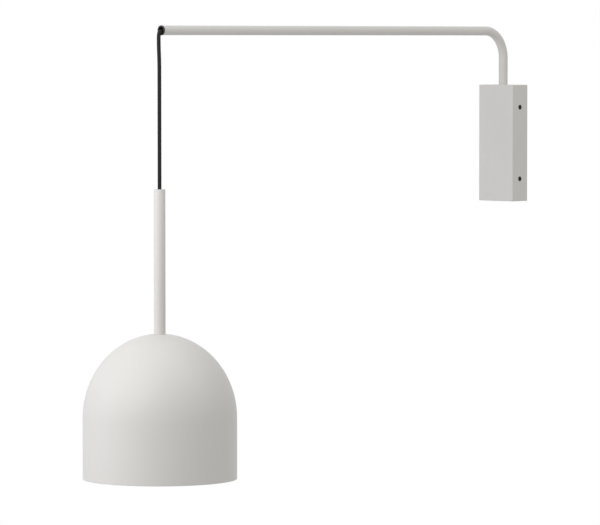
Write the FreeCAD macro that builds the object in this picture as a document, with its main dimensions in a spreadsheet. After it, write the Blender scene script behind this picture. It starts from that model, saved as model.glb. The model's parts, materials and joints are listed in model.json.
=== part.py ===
"""Hanging pendant wall sconce: a wall box, a bent swivel arm and a bell shade on a free cord.

Frame: the origin is the middle of the wall box's back, +X points out of the wall, +Z is up.
Lengths are millimetres. Every driving dimension is a cell of the sheet Sizes.
"""

import FreeCAD, Part
import math
import os

import Sketcher
from FreeCAD import Placement, Rotation, Vector

DIMENSIONS = {
    # wall box and the bracket in it
    "box_width": 50,
    "box_depth": 25,
    "box_height": 130,
    "box_wall": 2,
    "box_edge_radius": 0.8,
    "bracket_sheet": 2,
    "bracket_end_gap": 3,
    "bracket_front_gap": 4,
    "bracket_side_gap": 0.3,
    "bracket_ear_height": 24,
    "bracket_waist_depth": 6,
    "side_screw_spacing": 80,
    "side_screw_thread": 3,
    "side_screw_head": 5.5,
    "side_screw_length": 8,
    "wall_hole_spacing": 60,
    "wall_hole_bore": 5,
    "cable_entry_bore": 12,
    "cable_entry_rise": 14,
    "wall_hole_rise": 13,
    # seat of the arm under the box's top
    "housing_outer": 18,
    "housing_length": 22,
    "housing_floor": 3,
    "bush_wall": 1,
    "running_gap": 0.05,
    "open_gap": 0.35,
    "thrust_sheet": 1,
    "cable_clearance": 0.4,
    "stub_grip": 15,
    "stub_tail": 1.3,
    "stop_sheet": 1.5,
    "stop_pin_diameter": 2,
    "stop_pin_edge": 0.5,
    "swivel_limit": 80,
    "spring_outer": 15,
    "spring_sheet": 0.7,
    "spring_rise": 1.2,
    "washer_sheet": 1,
    "pivot_nut_flats": 13,
    "pivot_nut_height": 4,
    "lock_nut_height": 3,
    # arm
    "arm_diameter": 10,
    "arm_wall": 1,
    "arm_rise": 60,
    "arm_reach": 537,
    "bend_radius": 30,
    "grommet_flange": 1,
    "grommet_overhang": 0.2,
    "grommet_bore": 7,
    "grommet_spigot": 14,
    "grommet_lip": 0.35,
    # cord
    "cord_diameter": 4,
    "cord_gap": 0.3,
    "cord_standoff": 0.2,
    "cord_bulge": 0.9,
    "cord_lip_radius": 4,
    "cord_lip_start": 1,
    "cord_bend_drop": 14,
    "cord_plumb_drop": 32,
    # stem and shade
    "stem_drop": 164,
    "stem_length": 150,
    "stem_diameter": 12,
    "stem_bore": 9,
    "nipple_diameter": 10,
    "nipple_bore": 7,
    "nipple_grip": 12,
    "nipple_tail": 4,
    "plug_depth": 8,
    "crimp_length": 10,
    "shade_diameter": 160,
    "shade_height": 150,
    "dome_stretch": 7,
    "shade_sheet": 1,
    "shade_land": 16,
    "shade_washer_edge": 0.5,
    "shade_nut_flats": 13,
    "shade_nut_height": 3,
    # lampholder
    "holder_diameter": 40,
    "holder_neck": 16,
    "holder_neck_height": 6,
    "holder_shoulder": 8,
    "holder_cap_height": 24,
    "holder_wall": 2,
    "holder_spigot_height": 4,
    "holder_skirt_height": 38,
    "holder_lip_height": 3,
    "holder_mouth_gap": 2.4,
    "grub_diameter": 3,
    "grub_recess": 0.3,
    "core_rise": 5,
    "core_height": 9,
    "core_port_depth": 5,
    "core_port_diameter": 4,
    "core_port_across": 10,
    "core_port_along": 4,
    "core_screw_thread": 2.6,
    "core_screw_head": 3.8,
    "contact_diameter": 5,
    "contact_height": 4,
    "shell_sheet": 0.4,
    "shell_height": 24,
    "shell_flange": 6,
    # bulb
    "bulb_cap_diameter": 26.2,
    "bulb_cap_height": 26,
    "bulb_cap_gap": 0.3,
    "bulb_tip_diameter": 9.5,
    "bulb_tip_height": 1.4,
    "bulb_insulator_height": 6,
    "bulb_thread_pitch": 3.6,
    "bulb_thread_depth": 0.9,
    "bulb_collar_wall": 2,
    "bulb_globe_diameter": 45,
    "bulb_globe_mouth": 34.4,
    "bulb_length": 78,
    "bulb_glass": 1,
    "led_sheet": 1.6,
    # terminal block, clamp and earth point
    "block_width": 30,
    "block_height": 20,
    "block_depth": 13,
    "pole_pitch": 10,
    "pole_port": 5,
    "sleeve_bore": 3,
    "sleeve_inset": 3,
    "pole_screw_thread": 2,
    "pole_screw_head": 3.4,
    "pole_screw_offset": 4.5,
    "clamp_level": 6,
    "clamp_height": 6,
    "clamp_width": 21,
    "clamp_foot_sheet": 3,
    "clamp_cover": 2,
    "clamp_hole_inset": 3.5,
    "small_screw_thread": 3,
    "small_screw_head": 5,
    "small_screw_play": 0.3,
    "earth_level": 22,
    "earth_offset": 14,
    "earth_tag_outer": 7.5,
    "earth_tag_sheet": 0.8,
    "earth_barrel_outer": 3,
    "earth_barrel_length": 5,
    "earth_barrel_drop": 8.5,
    "wire_diameter": 1.4,
    "cable_tail": 3,
    "seat_gap": 0.05,
}

document = FreeCAD.newDocument("PendantWallSconce")
sheet = document.addObject("Spreadsheet::Sheet", "Sizes")


class Size:
    """A length that carries its number and the sheet expression that gives it."""

    def __init__(self, number, text):
        self.number = number
        self.text = text

    def __add__(self, other):
        other = as_size(other)
        return Size(self.number + other.number, f"({self.text} + {other.text})")

    def __sub__(self, other):
        other = as_size(other)
        return Size(self.number - other.number, f"({self.text} - {other.text})")

    def __mul__(self, other):
        other = as_size(other)
        return Size(self.number * other.number, f"({self.text} * {other.text})")

    def __truediv__(self, other):
        other = as_size(other)
        return Size(self.number / other.number, f"({self.text} / {other.text})")

    def __neg__(self):
        return Size(-self.number, f"(0 - {self.text})")

    def __radd__(self, other):
        return as_size(other) + self

    def __rsub__(self, other):
        return as_size(other) - self

    def __rmul__(self, other):
        return as_size(other) * self


def as_size(value):
    return value if isinstance(value, Size) else Size(value, repr(value))


def fill_sheet():
    for row, (name, number) in enumerate(DIMENSIONS.items(), start=1):
        sheet.set(f"A{row}", name)
        sheet.set(f"B{row}", str(number))
        sheet.setAlias(f"B{row}", name)
    document.recompute()


def cell(name):
    return Size(float(DIMENSIONS[name]), f"Sizes.{name}")


fill_sheet()

# ---------------------------------------------------------------- places worked out from the sizes

half_width = cell("box_width") / 2
half_height = cell("box_height") / 2
pivot_x = cell("box_depth") / 2
screw_level = cell("side_screw_spacing") / 2
entry_level = cell("cable_entry_rise") - half_height
lower_hole_level = entry_level + cell("wall_hole_rise")
arm_level = half_height + cell("arm_rise")
tube_end = pivot_x + cell("arm_reach")
flange_face = tube_end + cell("grommet_flange")
cord_radius = cell("cord_diameter") / 2
hang_x = flange_face + cell("cord_standoff") + cord_radius
cord_level = arm_level - (cell("grommet_bore") / 2 - cell("cord_gap") - cord_radius)
grip_start = tube_end - cell("grommet_spigot")
stem_top = arm_level - cell("stem_drop")
stem_foot = stem_top - cell("stem_length")

stub_outer = cell("arm_diameter") - cell("arm_wall") * 2
stub_bore = cell("cord_diameter") + cell("cable_clearance") * 2
stop_pin_offset = (cell("housing_outer") - cell("stop_pin_diameter")) / 2 - cell("stop_pin_edge")
housing_top = half_height - cell("box_wall")
housing_foot = housing_top - cell("housing_length")
housing_seat = housing_foot + cell("housing_floor")
arm_foot = housing_seat + cell("thrust_sheet")
stop_top = housing_foot - cell("thrust_sheet")
stop_foot = stop_top - cell("stop_sheet")
spring_foot = stop_foot - cell("spring_rise")
washer_foot = spring_foot - cell("washer_sheet")
pivot_nut_foot = washer_foot - cell("pivot_nut_height")
lock_nut_foot = pivot_nut_foot - cell("lock_nut_height")
stub_foot = lock_nut_foot - cell("stub_tail")

shade_inside = stem_foot - cell("shade_sheet")
shade_nut_top = shade_inside - cell("washer_sheet")
holder_top = shade_nut_top - cell("shade_nut_height")
nipple_foot = holder_top - cell("holder_neck_height") - cell("nipple_tail")
stem_cable_foot = nipple_foot - 1
holder_joint = holder_top - cell("holder_cap_height")
holder_foot = holder_joint - cell("holder_skirt_height")
core_top = holder_joint + cell("core_rise")
core_foot = core_top - cell("core_height")
core_ports = ((-cell("core_port_across"), -cell("core_port_along")),
              (-cell("core_port_across"), cell("core_port_along")),
              (cell("core_port_across"), as_size(0)))
bulb_top = core_foot - cell("contact_height")
globe_centre = bulb_top - cell("bulb_length") + cell("bulb_globe_diameter") / 2
cap_foot = bulb_top - cell("bulb_cap_height")

clamp_foot = cell("clamp_level") - cell("clamp_height") / 2
clamp_top = clamp_foot + cell("clamp_height")
clamp_screw_offset = cell("clamp_width") / 2 - cell("clamp_hole_inset")
cable_end = clamp_foot - cell("cable_tail")
cable_x = cell("bracket_sheet") + cord_radius
block_top = cell("clamp_level") - cell("clamp_height") * 2
block_foot = block_top - cell("block_height")
block_middle = block_top - cell("block_height") / 2
block_screw_offset = cell("pole_pitch") / 2
pole_x = cell("bracket_sheet") + cell("block_depth") / 2
earth_barrel_foot = cell("earth_level") - cell("earth_barrel_drop")
earth_barrel_x = cell("bracket_sheet") + cell("earth_barrel_outer") / 2

sub_parts = {}


def keep(label, part):
    """Name a finished sub-part; its label is the name of its file."""
    part.Label = label
    sub_parts[label] = part
    return part


def bind(item, **sizes):
    for name, size in sizes.items():
        item.setExpression(name, as_size(size).text)


def put(item, x=0, y=0, z=0, turn=None):
    """Place an item; turn is an axis and an angle in degrees."""
    if turn:
        item.Placement = Placement(Vector(0, 0, 0), Rotation(Vector(*turn[0]), turn[1]))
    for axis, size in (("x", x), ("y", y), ("z", z)):
        item.setExpression(f"Placement.Base.{axis}", as_size(size).text)
    return item


# ---------------------------------------------------------------- plain solids and booleans

ALONG_X = ((0, 1, 0), 90)
ALONG_Y = ((1, 0, 0), -90)
ALONG_MINUS_Y = ((1, 0, 0), 90)
UPRIGHT = ((0, 0, 1), 0)


def cylinder(name, diameter, height, x=0, y=0, z=0, turn=None):
    item = document.addObject("Part::Cylinder", name)
    bind(item, Radius=as_size(diameter) / 2, Height=height)
    return put(item, x, y, z, turn)


def cone(name, foot, top, height, x=0, y=0, z=0, turn=None):
    item = document.addObject("Part::Cone", name)
    bind(item, Radius1=as_size(foot) / 2, Radius2=as_size(top) / 2, Height=height)
    return put(item, x, y, z, turn)


def block(name, length, width, height, x=0, y=0, z=0):
    """A box whose corner nearest to minus X, Y and Z is at x, y, z."""
    item = document.addObject("Part::Box", name)
    bind(item, Length=length, Width=width, Height=height)
    return put(item, x, y, z)


def hexagon(name, flats, height, x=0, y=0, z=0, turn=None):
    item = document.addObject("Part::Prism", name)
    item.Polygon = 6
    bind(item, Circumradius=as_size(flats) / math.sqrt(3), Height=height)
    return put(item, x, y, z, turn)


def cut(name, base, *tools):
    item = document.addObject("Part::Cut", name)
    item.Base = base
    item.Tool = tools[0] if len(tools) == 1 else join(name + "_tools", *tools)
    return item


def join(name, *pieces):
    item = document.addObject("Part::MultiFuse", name)
    item.Shapes = list(pieces)
    return item


def group(name, *pieces):
    """Separate solids that share one node."""
    item = document.addObject("Part::Compound", name)
    item.Links = list(pieces)
    return item


def ring(name, outer, bore, height, x=0, y=0, z=0, turn=None):
    outside = cylinder(name + "_outside", outer, height, x, y, z, turn)
    inside = cylinder(name + "_bore", bore, height, x, y, z, turn)
    return cut(name, outside, inside)


def nut(name, flats, bore, height, x, y, z):
    outside = hexagon(name + "_outside", flats, height, x, y, z)
    inside = cylinder(name + "_bore", bore, height, x, y, z)
    return cut(name, outside, inside)


def pan_screw(name, thread, head, length, x, y, z, turn):
    """A slotted screw whose head's underside is at x, y, z; the head points along turn."""
    head_height = as_size(thread) * 0.6
    facing = Rotation(Vector(*turn[0]), turn[1])

    def seen_from_head(along, across, sideways):
        """A point given from the head's underside, in the screw's own directions."""
        steps = [facing.multVec(step) for step in (Vector(1, 0, 0), Vector(0, 1, 0), Vector(0, 0, 1))]
        return [as_size(place) + across * steps[0][axis] + sideways * steps[1][axis] + along * steps[2][axis]
                for axis, place in enumerate((x, y, z))]

    none = as_size(0)
    shank = cylinder(name + "_shank", thread, length, *seen_from_head(-as_size(length), none, none), turn)
    crown = cylinder(name + "_crown", head, head_height, x, y, z, turn)
    slot = document.addObject("Part::Box", name + "_slot")
    bind(slot, Length=as_size(head) * 1.2, Width=as_size(thread) * 0.25, Height=head_height)
    corner = seen_from_head(head_height * 0.5, as_size(head) * -0.6, as_size(thread) * -0.125)
    put(slot, *corner, turn=turn)
    return cut(name, join(name + "_body", shank, crown), slot)


# ---------------------------------------------------------------- bodies with sketches


def new_body(label):
    return document.addObject("PartDesign::Body", label + "_body")


def new_sketch(body, plane, name):
    sketch = body.newObject("Sketcher::SketchObject", name)
    origin_plane = next(item for item in body.Origin.OriginFeatures if item.Role == plane)
    sketch.AttachmentSupport = [(origin_plane, "")]
    sketch.MapMode = "FlatFace"
    return sketch


def fix_point(sketch, edge, end, u, v):
    """Hold one end of an edge at u, v from the sketch's origin."""
    for kind, size in (("DistanceX", u), ("DistanceY", v)):
        size = as_size(size)
        index = sketch.addConstraint(Sketcher.Constraint(kind, -1, 1, edge, end, size.number))
        sketch.setExpression(f"Constraints[{index}]", size.text)


def closed_outline(sketch, corners):
    """Straight lines from corner to corner and back to the first; every corner is held."""
    points = [Vector(as_size(u).number, as_size(v).number, 0) for u, v in corners]
    first = sketch.GeometryCount
    count = len(points)
    for index in range(count):
        sketch.addGeometry(Part.LineSegment(points[index], points[(index + 1) % count]))
    for index in range(count):
        following = first + (index + 1) % count
        sketch.addConstraint(Sketcher.Constraint("Coincident", first + index, 2, following, 1))
    for index, (u, v) in enumerate(corners):
        fix_point(sketch, first + index, 1, u, v)


def circle_in(sketch, diameter, u=0, v=0):
    centre = Vector(as_size(u).number, as_size(v).number, 0)
    radius = as_size(diameter) / 2
    edge = sketch.addGeometry(Part.Circle(centre, Vector(0, 0, 1), radius.number))
    fix_point(sketch, edge, 3, u, v)
    index = sketch.addConstraint(Sketcher.Constraint("Radius", edge, radius.number))
    sketch.setExpression(f"Constraints[{index}]", radius.text)


def rectangle_in(sketch, width, height, u=0, v=0):
    """A rectangle centred on u, v."""
    half_u = as_size(width) / 2
    half_v = as_size(height) / 2
    left, right = u - half_u, u + half_u
    low, high = v - half_v, v + half_v
    closed_outline(sketch, [(left, low), (right, low), (right, high), (left, high)])


def pad(body, sketch, length, both_ways=False):
    feature = body.newObject("PartDesign::Pad", sketch.Name + "_pad")
    feature.Profile = sketch
    bind(feature, Length=length)
    feature.Midplane = both_ways
    return feature


def pocket(body, sketch, depth, both_ways=False, reverse=False):
    """Cut a sketch into the body and make sure that it takes something away."""
    document.recompute()
    before = body.Shape.Volume
    feature = body.newObject("PartDesign::Pocket", sketch.Name + "_pocket")
    feature.Profile = sketch
    bind(feature, Length=depth)
    feature.Midplane = both_ways
    feature.Reversed = reverse
    document.recompute()
    if body.Shape.Volume > before - 0.01:
        raise RuntimeError(f"{sketch.Name} cuts nothing")
    return feature


def turned(label, corners, x=0, y=0, z=0):
    """A piece turned about its own Z axis from an outline of radius and height pairs."""
    body = new_body(label)
    sketch = new_sketch(body, "XZ_Plane", label + "_outline")
    closed_outline(sketch, corners)
    feature = body.newObject("PartDesign::Revolution", label + "_turn")
    feature.Profile = sketch
    feature.ReferenceAxis = (sketch, ["V_Axis"])
    feature.Angle = 360
    return put(body, x, y, z)


def edges_where(shape, test):
    return [f"Edge{index}" for index, edge in enumerate(shape.Edges, start=1) if test(edge)]


def round_edges(body, radius, test, name, kind="PartDesign::Fillet"):
    document.recompute()
    base = body.Tip
    names = edges_where(base.Shape, test)
    if not names:
        raise RuntimeError(f"{name} finds no edge")
    feature = body.newObject(kind, name)
    feature.Base = (base, names)
    bind(feature, **{"Radius" if kind.endswith("Fillet") else "Size": radius})
    return feature


# ---------------------------------------------------------------- cords and wires


def bent_path(corners, radii):
    """Straight runs joined by tangent arcs, one arc of the given radius at each inner corner."""
    edges = []
    start = corners[0]
    for corner, after, radius in zip(corners[1:-1], corners[2:], radii):
        arriving = (corner - start).normalize()
        leaving = (after - corner).normalize()
        turn = arriving.getAngle(leaving)
        reach = radius * math.tan(turn / 2)
        into = corner - arriving * reach
        out = corner + leaving * reach
        toward = (leaving - arriving).normalize()
        middle = corner + toward * (radius / math.cos(turn / 2) - radius)
        if (into - start).Length > 1e-6:
            edges.append(Part.LineSegment(start, into).toShape())
        edges.append(Part.Arc(into, middle, out).toShape())
        start = out
    edges.append(Part.LineSegment(start, corners[-1]).toShape())
    return Part.Wire(edges)


def widest_radii(corners):
    """The largest arc that two neighbouring runs allow at each inner corner."""
    radii = []
    for before, corner, after in zip(corners, corners[1:], corners[2:]):
        turn = (corner - before).getAngle(after - corner)
        shorter = min((corner - before).Length, (after - corner).Length)
        radii.append(0.45 * shorter / math.tan(turn / 2))
    return radii


def tube_along(label, corners, diameter, radii=None):
    """A round tube along a bent path; prints its length, radii and how true its volume is."""
    radii = radii or widest_radii(corners)
    path = bent_path(corners, radii)
    heading = (corners[1] - corners[0]).normalize()
    section = Part.Wire(Part.Circle(corners[0], heading, diameter / 2).toShape())
    solid = path.makePipeShell([section], True, False)
    share = solid.Volume / (math.pi * diameter**2 / 4 * path.Length)
    shown = ", ".join(f"{radius:.1f}" for radius in radii)
    print(f"{label}: length {path.Length:.1f} mm, radii {shown} mm, volume {share:.4f} of section x length")
    return solid


def shaped(name, shape):
    item = document.addObject("Part::Feature", name)
    item.Shape = shape
    return item


def cord(label, corners, diameter=cell("cord_diameter"), radii=None):
    points = [Vector(*(as_size(place).number for place in corner)) for corner in corners]
    return shaped(label, tube_along(label, points, diameter.number, radii))


# ---------------------------------------------------------------- wall bracket and box


def make_wall_bracket():
    """U plate: it lies on the wall, and its four ears take the side screws."""
    sheet_size = cell("bracket_sheet")
    half = half_width - cell("box_wall") - cell("bracket_side_gap")
    inner = half - sheet_size
    depth = cell("box_depth") - cell("box_wall") - cell("bracket_front_gap")
    body = new_body("wall_bracket")
    profile = new_sketch(body, "XY_Plane", "bracket_profile")
    closed_outline(profile, [(0, -half), (depth, -half), (depth, -inner), (sheet_size, -inner),
                             (sheet_size, inner), (depth, inner), (depth, half), (0, half)])
    height = cell("box_height") - (cell("box_wall") + cell("bracket_end_gap")) * 2
    pad(body, profile, height, both_ways=True)

    waist = new_sketch(body, "XZ_Plane", "bracket_waist")
    waist_height = cell("side_screw_spacing") - cell("bracket_ear_height")
    waist_start = cell("bracket_waist_depth")
    rectangle_in(waist, depth - waist_start, waist_height, (depth + waist_start) / 2, as_size(0))
    pocket(body, waist, cell("box_width"), both_ways=True)

    side_holes = new_sketch(body, "XZ_Plane", "bracket_side_holes")
    for level in (-screw_level, screw_level):
        circle_in(side_holes, cell("side_screw_thread"), pivot_x, level)
    pocket(body, side_holes, cell("box_width"), both_ways=True)

    holes = new_sketch(body, "YZ_Plane", "bracket_wall_holes")
    circle_in(holes, cell("wall_hole_bore"), 0, lower_hole_level)
    circle_in(holes, cell("wall_hole_bore"), 0, lower_hole_level + cell("wall_hole_spacing"))
    circle_in(holes, cell("cable_entry_bore"), 0, entry_level)
    for side in (-1, 1):
        circle_in(holes, cell("small_screw_thread"), clamp_screw_offset * side, cell("clamp_level"))
        circle_in(holes, cell("small_screw_thread"), block_screw_offset * side, block_middle)
    circle_in(holes, cell("small_screw_thread"), -cell("earth_offset"), cell("earth_level"))
    pocket(body, holes, sheet_size * 2, both_ways=True)
    keep("wall_bracket", body)


def make_box_body():
    """Folded and welded housing, open towards the wall."""
    wall = cell("box_wall")
    body = new_body("box_body")
    outside = new_sketch(body, "XY_Plane", "box_outside")
    closed_outline(outside, [(0, -half_width), (cell("box_depth"), -half_width),
                             (cell("box_depth"), half_width), (0, half_width)])
    pad(body, outside, cell("box_height"), both_ways=True)
    round_edges(body, cell("box_edge_radius"), lambda edge: edge.BoundBox.XMax > 0.5, "box_edges")

    inside = new_sketch(body, "YZ_Plane", "box_inside")
    rectangle_in(inside, cell("box_width") - wall * 2, cell("box_height") - wall * 2,
                 as_size(0), as_size(0))
    pocket(body, inside, cell("box_depth") - wall, reverse=True)

    arm_hole = new_sketch(body, "XY_Plane", "box_arm_hole")
    circle_in(arm_hole, cell("arm_diameter") + cell("open_gap") * 2, pivot_x, 0)
    pocket(body, arm_hole, cell("box_height"), reverse=True)

    tools = []
    for level in (-screw_level, screw_level):
        for side, turn in ((-1, ALONG_Y), (1, ALONG_MINUS_Y)):
            name = f"box_sink_{len(tools)}"
            face = half_width * side
            sink = cell("side_screw_head") / 2 - cell("side_screw_thread") / 2
            tools.append(cone(name, cell("side_screw_head") + cell("seat_gap") * 2,
                              cell("side_screw_thread") + cell("seat_gap") * 2,
                              sink, pivot_x, face, level, turn))
            tools.append(cylinder(name + "_bore", cell("side_screw_thread") + cell("seat_gap") * 2,
                                  wall * 1.5, pivot_x, face, level, turn))
    keep("box_body", cut("box_body", body, *tools))


def make_side_screws():
    """Black countersunk hexagon-socket screws, flush with the box's sides."""
    thread = cell("side_screw_thread")
    head = cell("side_screw_head")
    for label, side, turn in (("side_screws_left", -1, ALONG_Y), ("side_screws_right", 1, ALONG_MINUS_Y)):
        screws = []
        for row, level in (("lower", -screw_level), ("upper", screw_level)):
            name = f"{label}_{row}"
            face = half_width * side
            crown = cone(name + "_crown", head, thread, head / 2 - thread / 2, pivot_x, face, level, turn)
            shank = cylinder(name + "_shank", thread, cell("side_screw_length"), pivot_x, face, level, turn)
            socket = hexagon(name + "_socket", thread * 0.667, thread * 0.4, pivot_x, face, level, turn)
            screws.append(cut(name, join(name + "_body", crown, shank), socket))
        keep(label, group(label, *screws))


# ---------------------------------------------------------------- pivot under the box's top


def make_pivot_housing():
    """Turned boss brazed under the box's top, with a floor that carries the arm's weight."""
    outer = cell("housing_outer") / 2
    bore = cell("arm_diameter") / 2 + cell("running_gap") + cell("bush_wall")
    throat = stub_outer / 2 + cell("open_gap")
    corners = [(throat, housing_foot), (outer, housing_foot), (outer, housing_top),
               (bore, housing_top), (bore, housing_seat), (throat, housing_seat)]
    body = turned("pivot_housing", corners, x=pivot_x)
    pin_hole = cylinder("pivot_housing_pin_hole", cell("stop_pin_diameter"), cell("housing_floor"),
                        pivot_x - stop_pin_offset, 0, housing_foot)
    keep("pivot_housing", cut("pivot_housing", body, pin_hole))


def make_pivot_bush():
    bore = cell("arm_diameter") + cell("running_gap") * 2
    height = housing_top - arm_foot
    keep("pivot_bush", ring("pivot_bush", bore + cell("bush_wall") * 2, bore, height, pivot_x, 0, arm_foot))


def make_thrust_washers():
    """One washer under the arm's foot, one under the housing."""
    sheet_size = cell("thrust_sheet")
    bore = stub_outer + cell("open_gap") * 2
    upper_outer = cell("arm_diameter") + cell("running_gap") * 2 + cell("bush_wall")
    lower_outer = stop_pin_offset * 2 - cell("stop_pin_diameter") - cell("open_gap") * 2
    upper = ring("thrust_washer_upper", upper_outer, bore, sheet_size, pivot_x, 0, housing_seat)
    lower = ring("thrust_washer_lower", lower_outer, bore, sheet_size, pivot_x, 0, stop_top)
    keep("thrust_washers", group("thrust_washers", upper, lower))


def make_stop_pin():
    keep("stop_pin", cylinder("stop_pin", cell("stop_pin_diameter"), housing_seat - stop_foot,
                              pivot_x - stop_pin_offset, 0, stop_foot))


def make_stop_plate():
    """A half moon on the stub: its two ends meet the pin at the ends of the swivel."""
    hub = stop_pin_offset - cell("stop_pin_diameter") / 2 - cell("open_gap")
    outer = cell("housing_outer")
    sheet_size = cell("stop_sheet")
    moon = cylinder("stop_plate_moon", outer, sheet_size, pivot_x, 0, stop_foot)
    pin_reach = cell("stop_pin_diameter") / 2 + cell("open_gap")
    pin_angle = math.degrees(math.asin(pin_reach.number / stop_pin_offset.number))
    moon.setExpression("Angle", f"2 * (180 - Sizes.swivel_limit - {pin_angle})")
    half_turn = Rotation(Vector(0, 0, 1), DIMENSIONS["swivel_limit"] + pin_angle - 180)
    moon.Placement = Placement(Vector(0, 0, 0), half_turn)
    centre = cylinder("stop_plate_hub", hub * 2, sheet_size, pivot_x, 0, stop_foot)
    bore = cylinder("stop_plate_bore", stub_outer, sheet_size, pivot_x, 0, stop_foot)
    keep("stop_plate", cut("stop_plate", join("stop_plate_disc", moon, centre), bore))


def make_pivot_stack():
    """Disc spring, washer and nuts that draw the arm down onto its seat."""
    bore = stub_outer / 2 + cell("seat_gap")
    outer = cell("spring_outer") / 2
    rise = cell("spring_rise") - cell("spring_sheet")
    corners = [(bore, rise), (outer, 0), (outer, cell("spring_sheet")), (bore, cell("spring_rise"))]
    keep("disc_spring", turned("disc_spring", corners, x=pivot_x, z=spring_foot))
    keep("pivot_washer", ring("pivot_washer", cell("spring_outer"), bore * 2, cell("washer_sheet"),
                              pivot_x, 0, washer_foot))
    keep("pivot_nut", nut("pivot_nut", cell("pivot_nut_flats"), stub_outer,
                          cell("pivot_nut_height"), pivot_x, 0, pivot_nut_foot))
    keep("lock_nut", nut("lock_nut", cell("pivot_nut_flats"), stub_outer,
                         cell("lock_nut_height"), pivot_x, 0, lock_nut_foot))


# ---------------------------------------------------------------- arm


def make_arm_tube():
    """One length of tube: vertical leg, bend and horizontal leg, swept along its centre line."""
    body = new_body("arm_tube")
    path = new_sketch(body, "XZ_Plane", "arm_path")
    x0, z0 = pivot_x.number, arm_foot.number
    x2, z2 = tube_end.number, arm_level.number
    radius = cell("bend_radius")
    r = radius.number
    bend = Part.Circle(Vector(x0 + r, z2 - r, 0), Vector(0, 0, 1), r)
    path.addGeometry(Part.LineSegment(Vector(x0, z0, 0), Vector(x0, z2 - r, 0)))
    path.addGeometry(Part.ArcOfCircle(bend, math.pi / 2, math.pi))
    path.addGeometry(Part.LineSegment(Vector(x0 + r, z2, 0), Vector(x2, z2, 0)))
    path.addConstraint(Sketcher.Constraint("Tangent", 0, 2, 1, 2))
    path.addConstraint(Sketcher.Constraint("Tangent", 1, 1, 2, 1))
    path.addConstraint(Sketcher.Constraint("Vertical", 0))
    path.addConstraint(Sketcher.Constraint("Horizontal", 2))
    index = path.addConstraint(Sketcher.Constraint("Radius", 1, r))
    path.setExpression(f"Constraints[{index}]", radius.text)
    fix_point(path, 0, 1, pivot_x, arm_foot)
    fix_point(path, 2, 2, tube_end, arm_level)

    section = new_sketch(body, "XY_Plane", "arm_section")
    section.setExpression("AttachmentOffset.Base.z", arm_foot.text)
    circle_in(section, cell("arm_diameter"), pivot_x, 0)
    circle_in(section, cell("arm_diameter") - cell("arm_wall") * 2, pivot_x, 0)
    document.recompute()
    pipe = body.newObject("PartDesign::AdditivePipe", "arm_pipe")
    pipe.Profile = section
    pipe.Spine = path
    keep("arm_tube", body)


def make_pivot_stub():
    """Hollow threaded pin brazed into the tube's foot."""
    height = arm_foot + cell("stub_grip") - stub_foot
    keep("pivot_stub", ring("pivot_stub", stub_outer, stub_bore, height, pivot_x, 0, stub_foot))


def make_tip_grommet():
    """Rubber bush in the tube's end; the cord lies on the bottom of its bore."""
    spigot = cell("arm_diameter") / 2 - cell("arm_wall")
    flange = cell("arm_diameter") / 2 + cell("grommet_overhang")
    bore = cell("grommet_bore") / 2
    face = cell("grommet_flange")
    lip = cell("grommet_lip")
    corners = [(bore, -cell("grommet_spigot")), (spigot, -cell("grommet_spigot")), (spigot, 0), (flange, 0),
               (flange, face - lip), (flange - lip, face), (bore + lip, face), (bore, face - lip)]
    keep("tip_grommet", put(turned("tip_grommet", corners), tube_end, 0, arm_level, ALONG_X))


# ---------------------------------------------------------------- lamp cable


def make_cables():
    """One cable, from the clamp in the box to the lampholder, in a length for each moving body."""
    keep("box_cable", cord("box_cable", [(pivot_x, 0, stub_foot), (pivot_x, 0, stub_foot - 6),
                                         (cable_x, 0, clamp_top + 5.5), (cable_x, 0, cable_end)]))
    bend = cell("bend_radius") - (arm_level - cord_level)
    keep("arm_cable", cord("arm_cable", [(pivot_x, 0, stub_foot), (pivot_x, 0, cord_level),
                                         (grip_start, 0, cord_level)], radii=[bend.number]))
    lip_start = tube_end - cell("cord_lip_start")
    keep("cord_exit", cylinder("cord_exit", cell("cord_diameter"), lip_start - grip_start,
                               grip_start, 0, cord_level, ALONG_X))
    front = hang_x + cell("cord_bulge")
    route = [(lip_start, 0, cord_level), (front, 0, cord_level),
             (front, 0, cord_level - cell("cord_bend_drop")),
             (hang_x, 0, cord_level - cell("cord_plumb_drop")), (hang_x, 0, stem_top)]
    points = [Vector(*(as_size(place).number for place in corner)) for corner in route]
    radii = [DIMENSIONS["cord_lip_radius"]] + widest_radii(points)[1:]
    keep("pendant_cord", cord("pendant_cord", route, radii=radii))
    keep("stem_cable", cylinder("stem_cable", cell("cord_diameter"), stem_top - stem_cable_foot,
                                hang_x, 0, stem_cable_foot))


# ---------------------------------------------------------------- stem and shade


def make_stem():
    outer = cell("stem_diameter") / 2
    bore = cell("stem_bore") / 2
    tapped = cell("nipple_diameter") / 2
    seat = cell("nipple_grip") + 1
    length = cell("stem_length")
    corners = [(tapped, 0), (outer, 0), (outer, length), (bore, length), (bore, seat), (tapped, seat)]
    keep("stem_tube", turned("stem_tube", corners, x=hang_x, z=stem_foot))

    cord_hole = cord_radius + cell("seat_gap")
    depth = cell("plug_depth")
    plug = [(cord_hole, -depth), (bore, -depth), (bore, 0), (cord_hole, 0)]
    keep("stem_plug", turned("stem_plug", plug, x=hang_x, z=stem_top))
    crimp = cell("crimp_length")
    keep("cord_crimp", ring("cord_crimp", cell("stem_bore") - cell("seat_gap") * 4, cord_hole * 2, crimp,
                            hang_x, 0, stem_top - depth - crimp))
    height = stem_foot + cell("nipple_grip") - nipple_foot
    keep("stem_nipple", ring("stem_nipple", cell("nipple_diameter"), cell("nipple_bore"), height,
                             hang_x, 0, nipple_foot))


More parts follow.
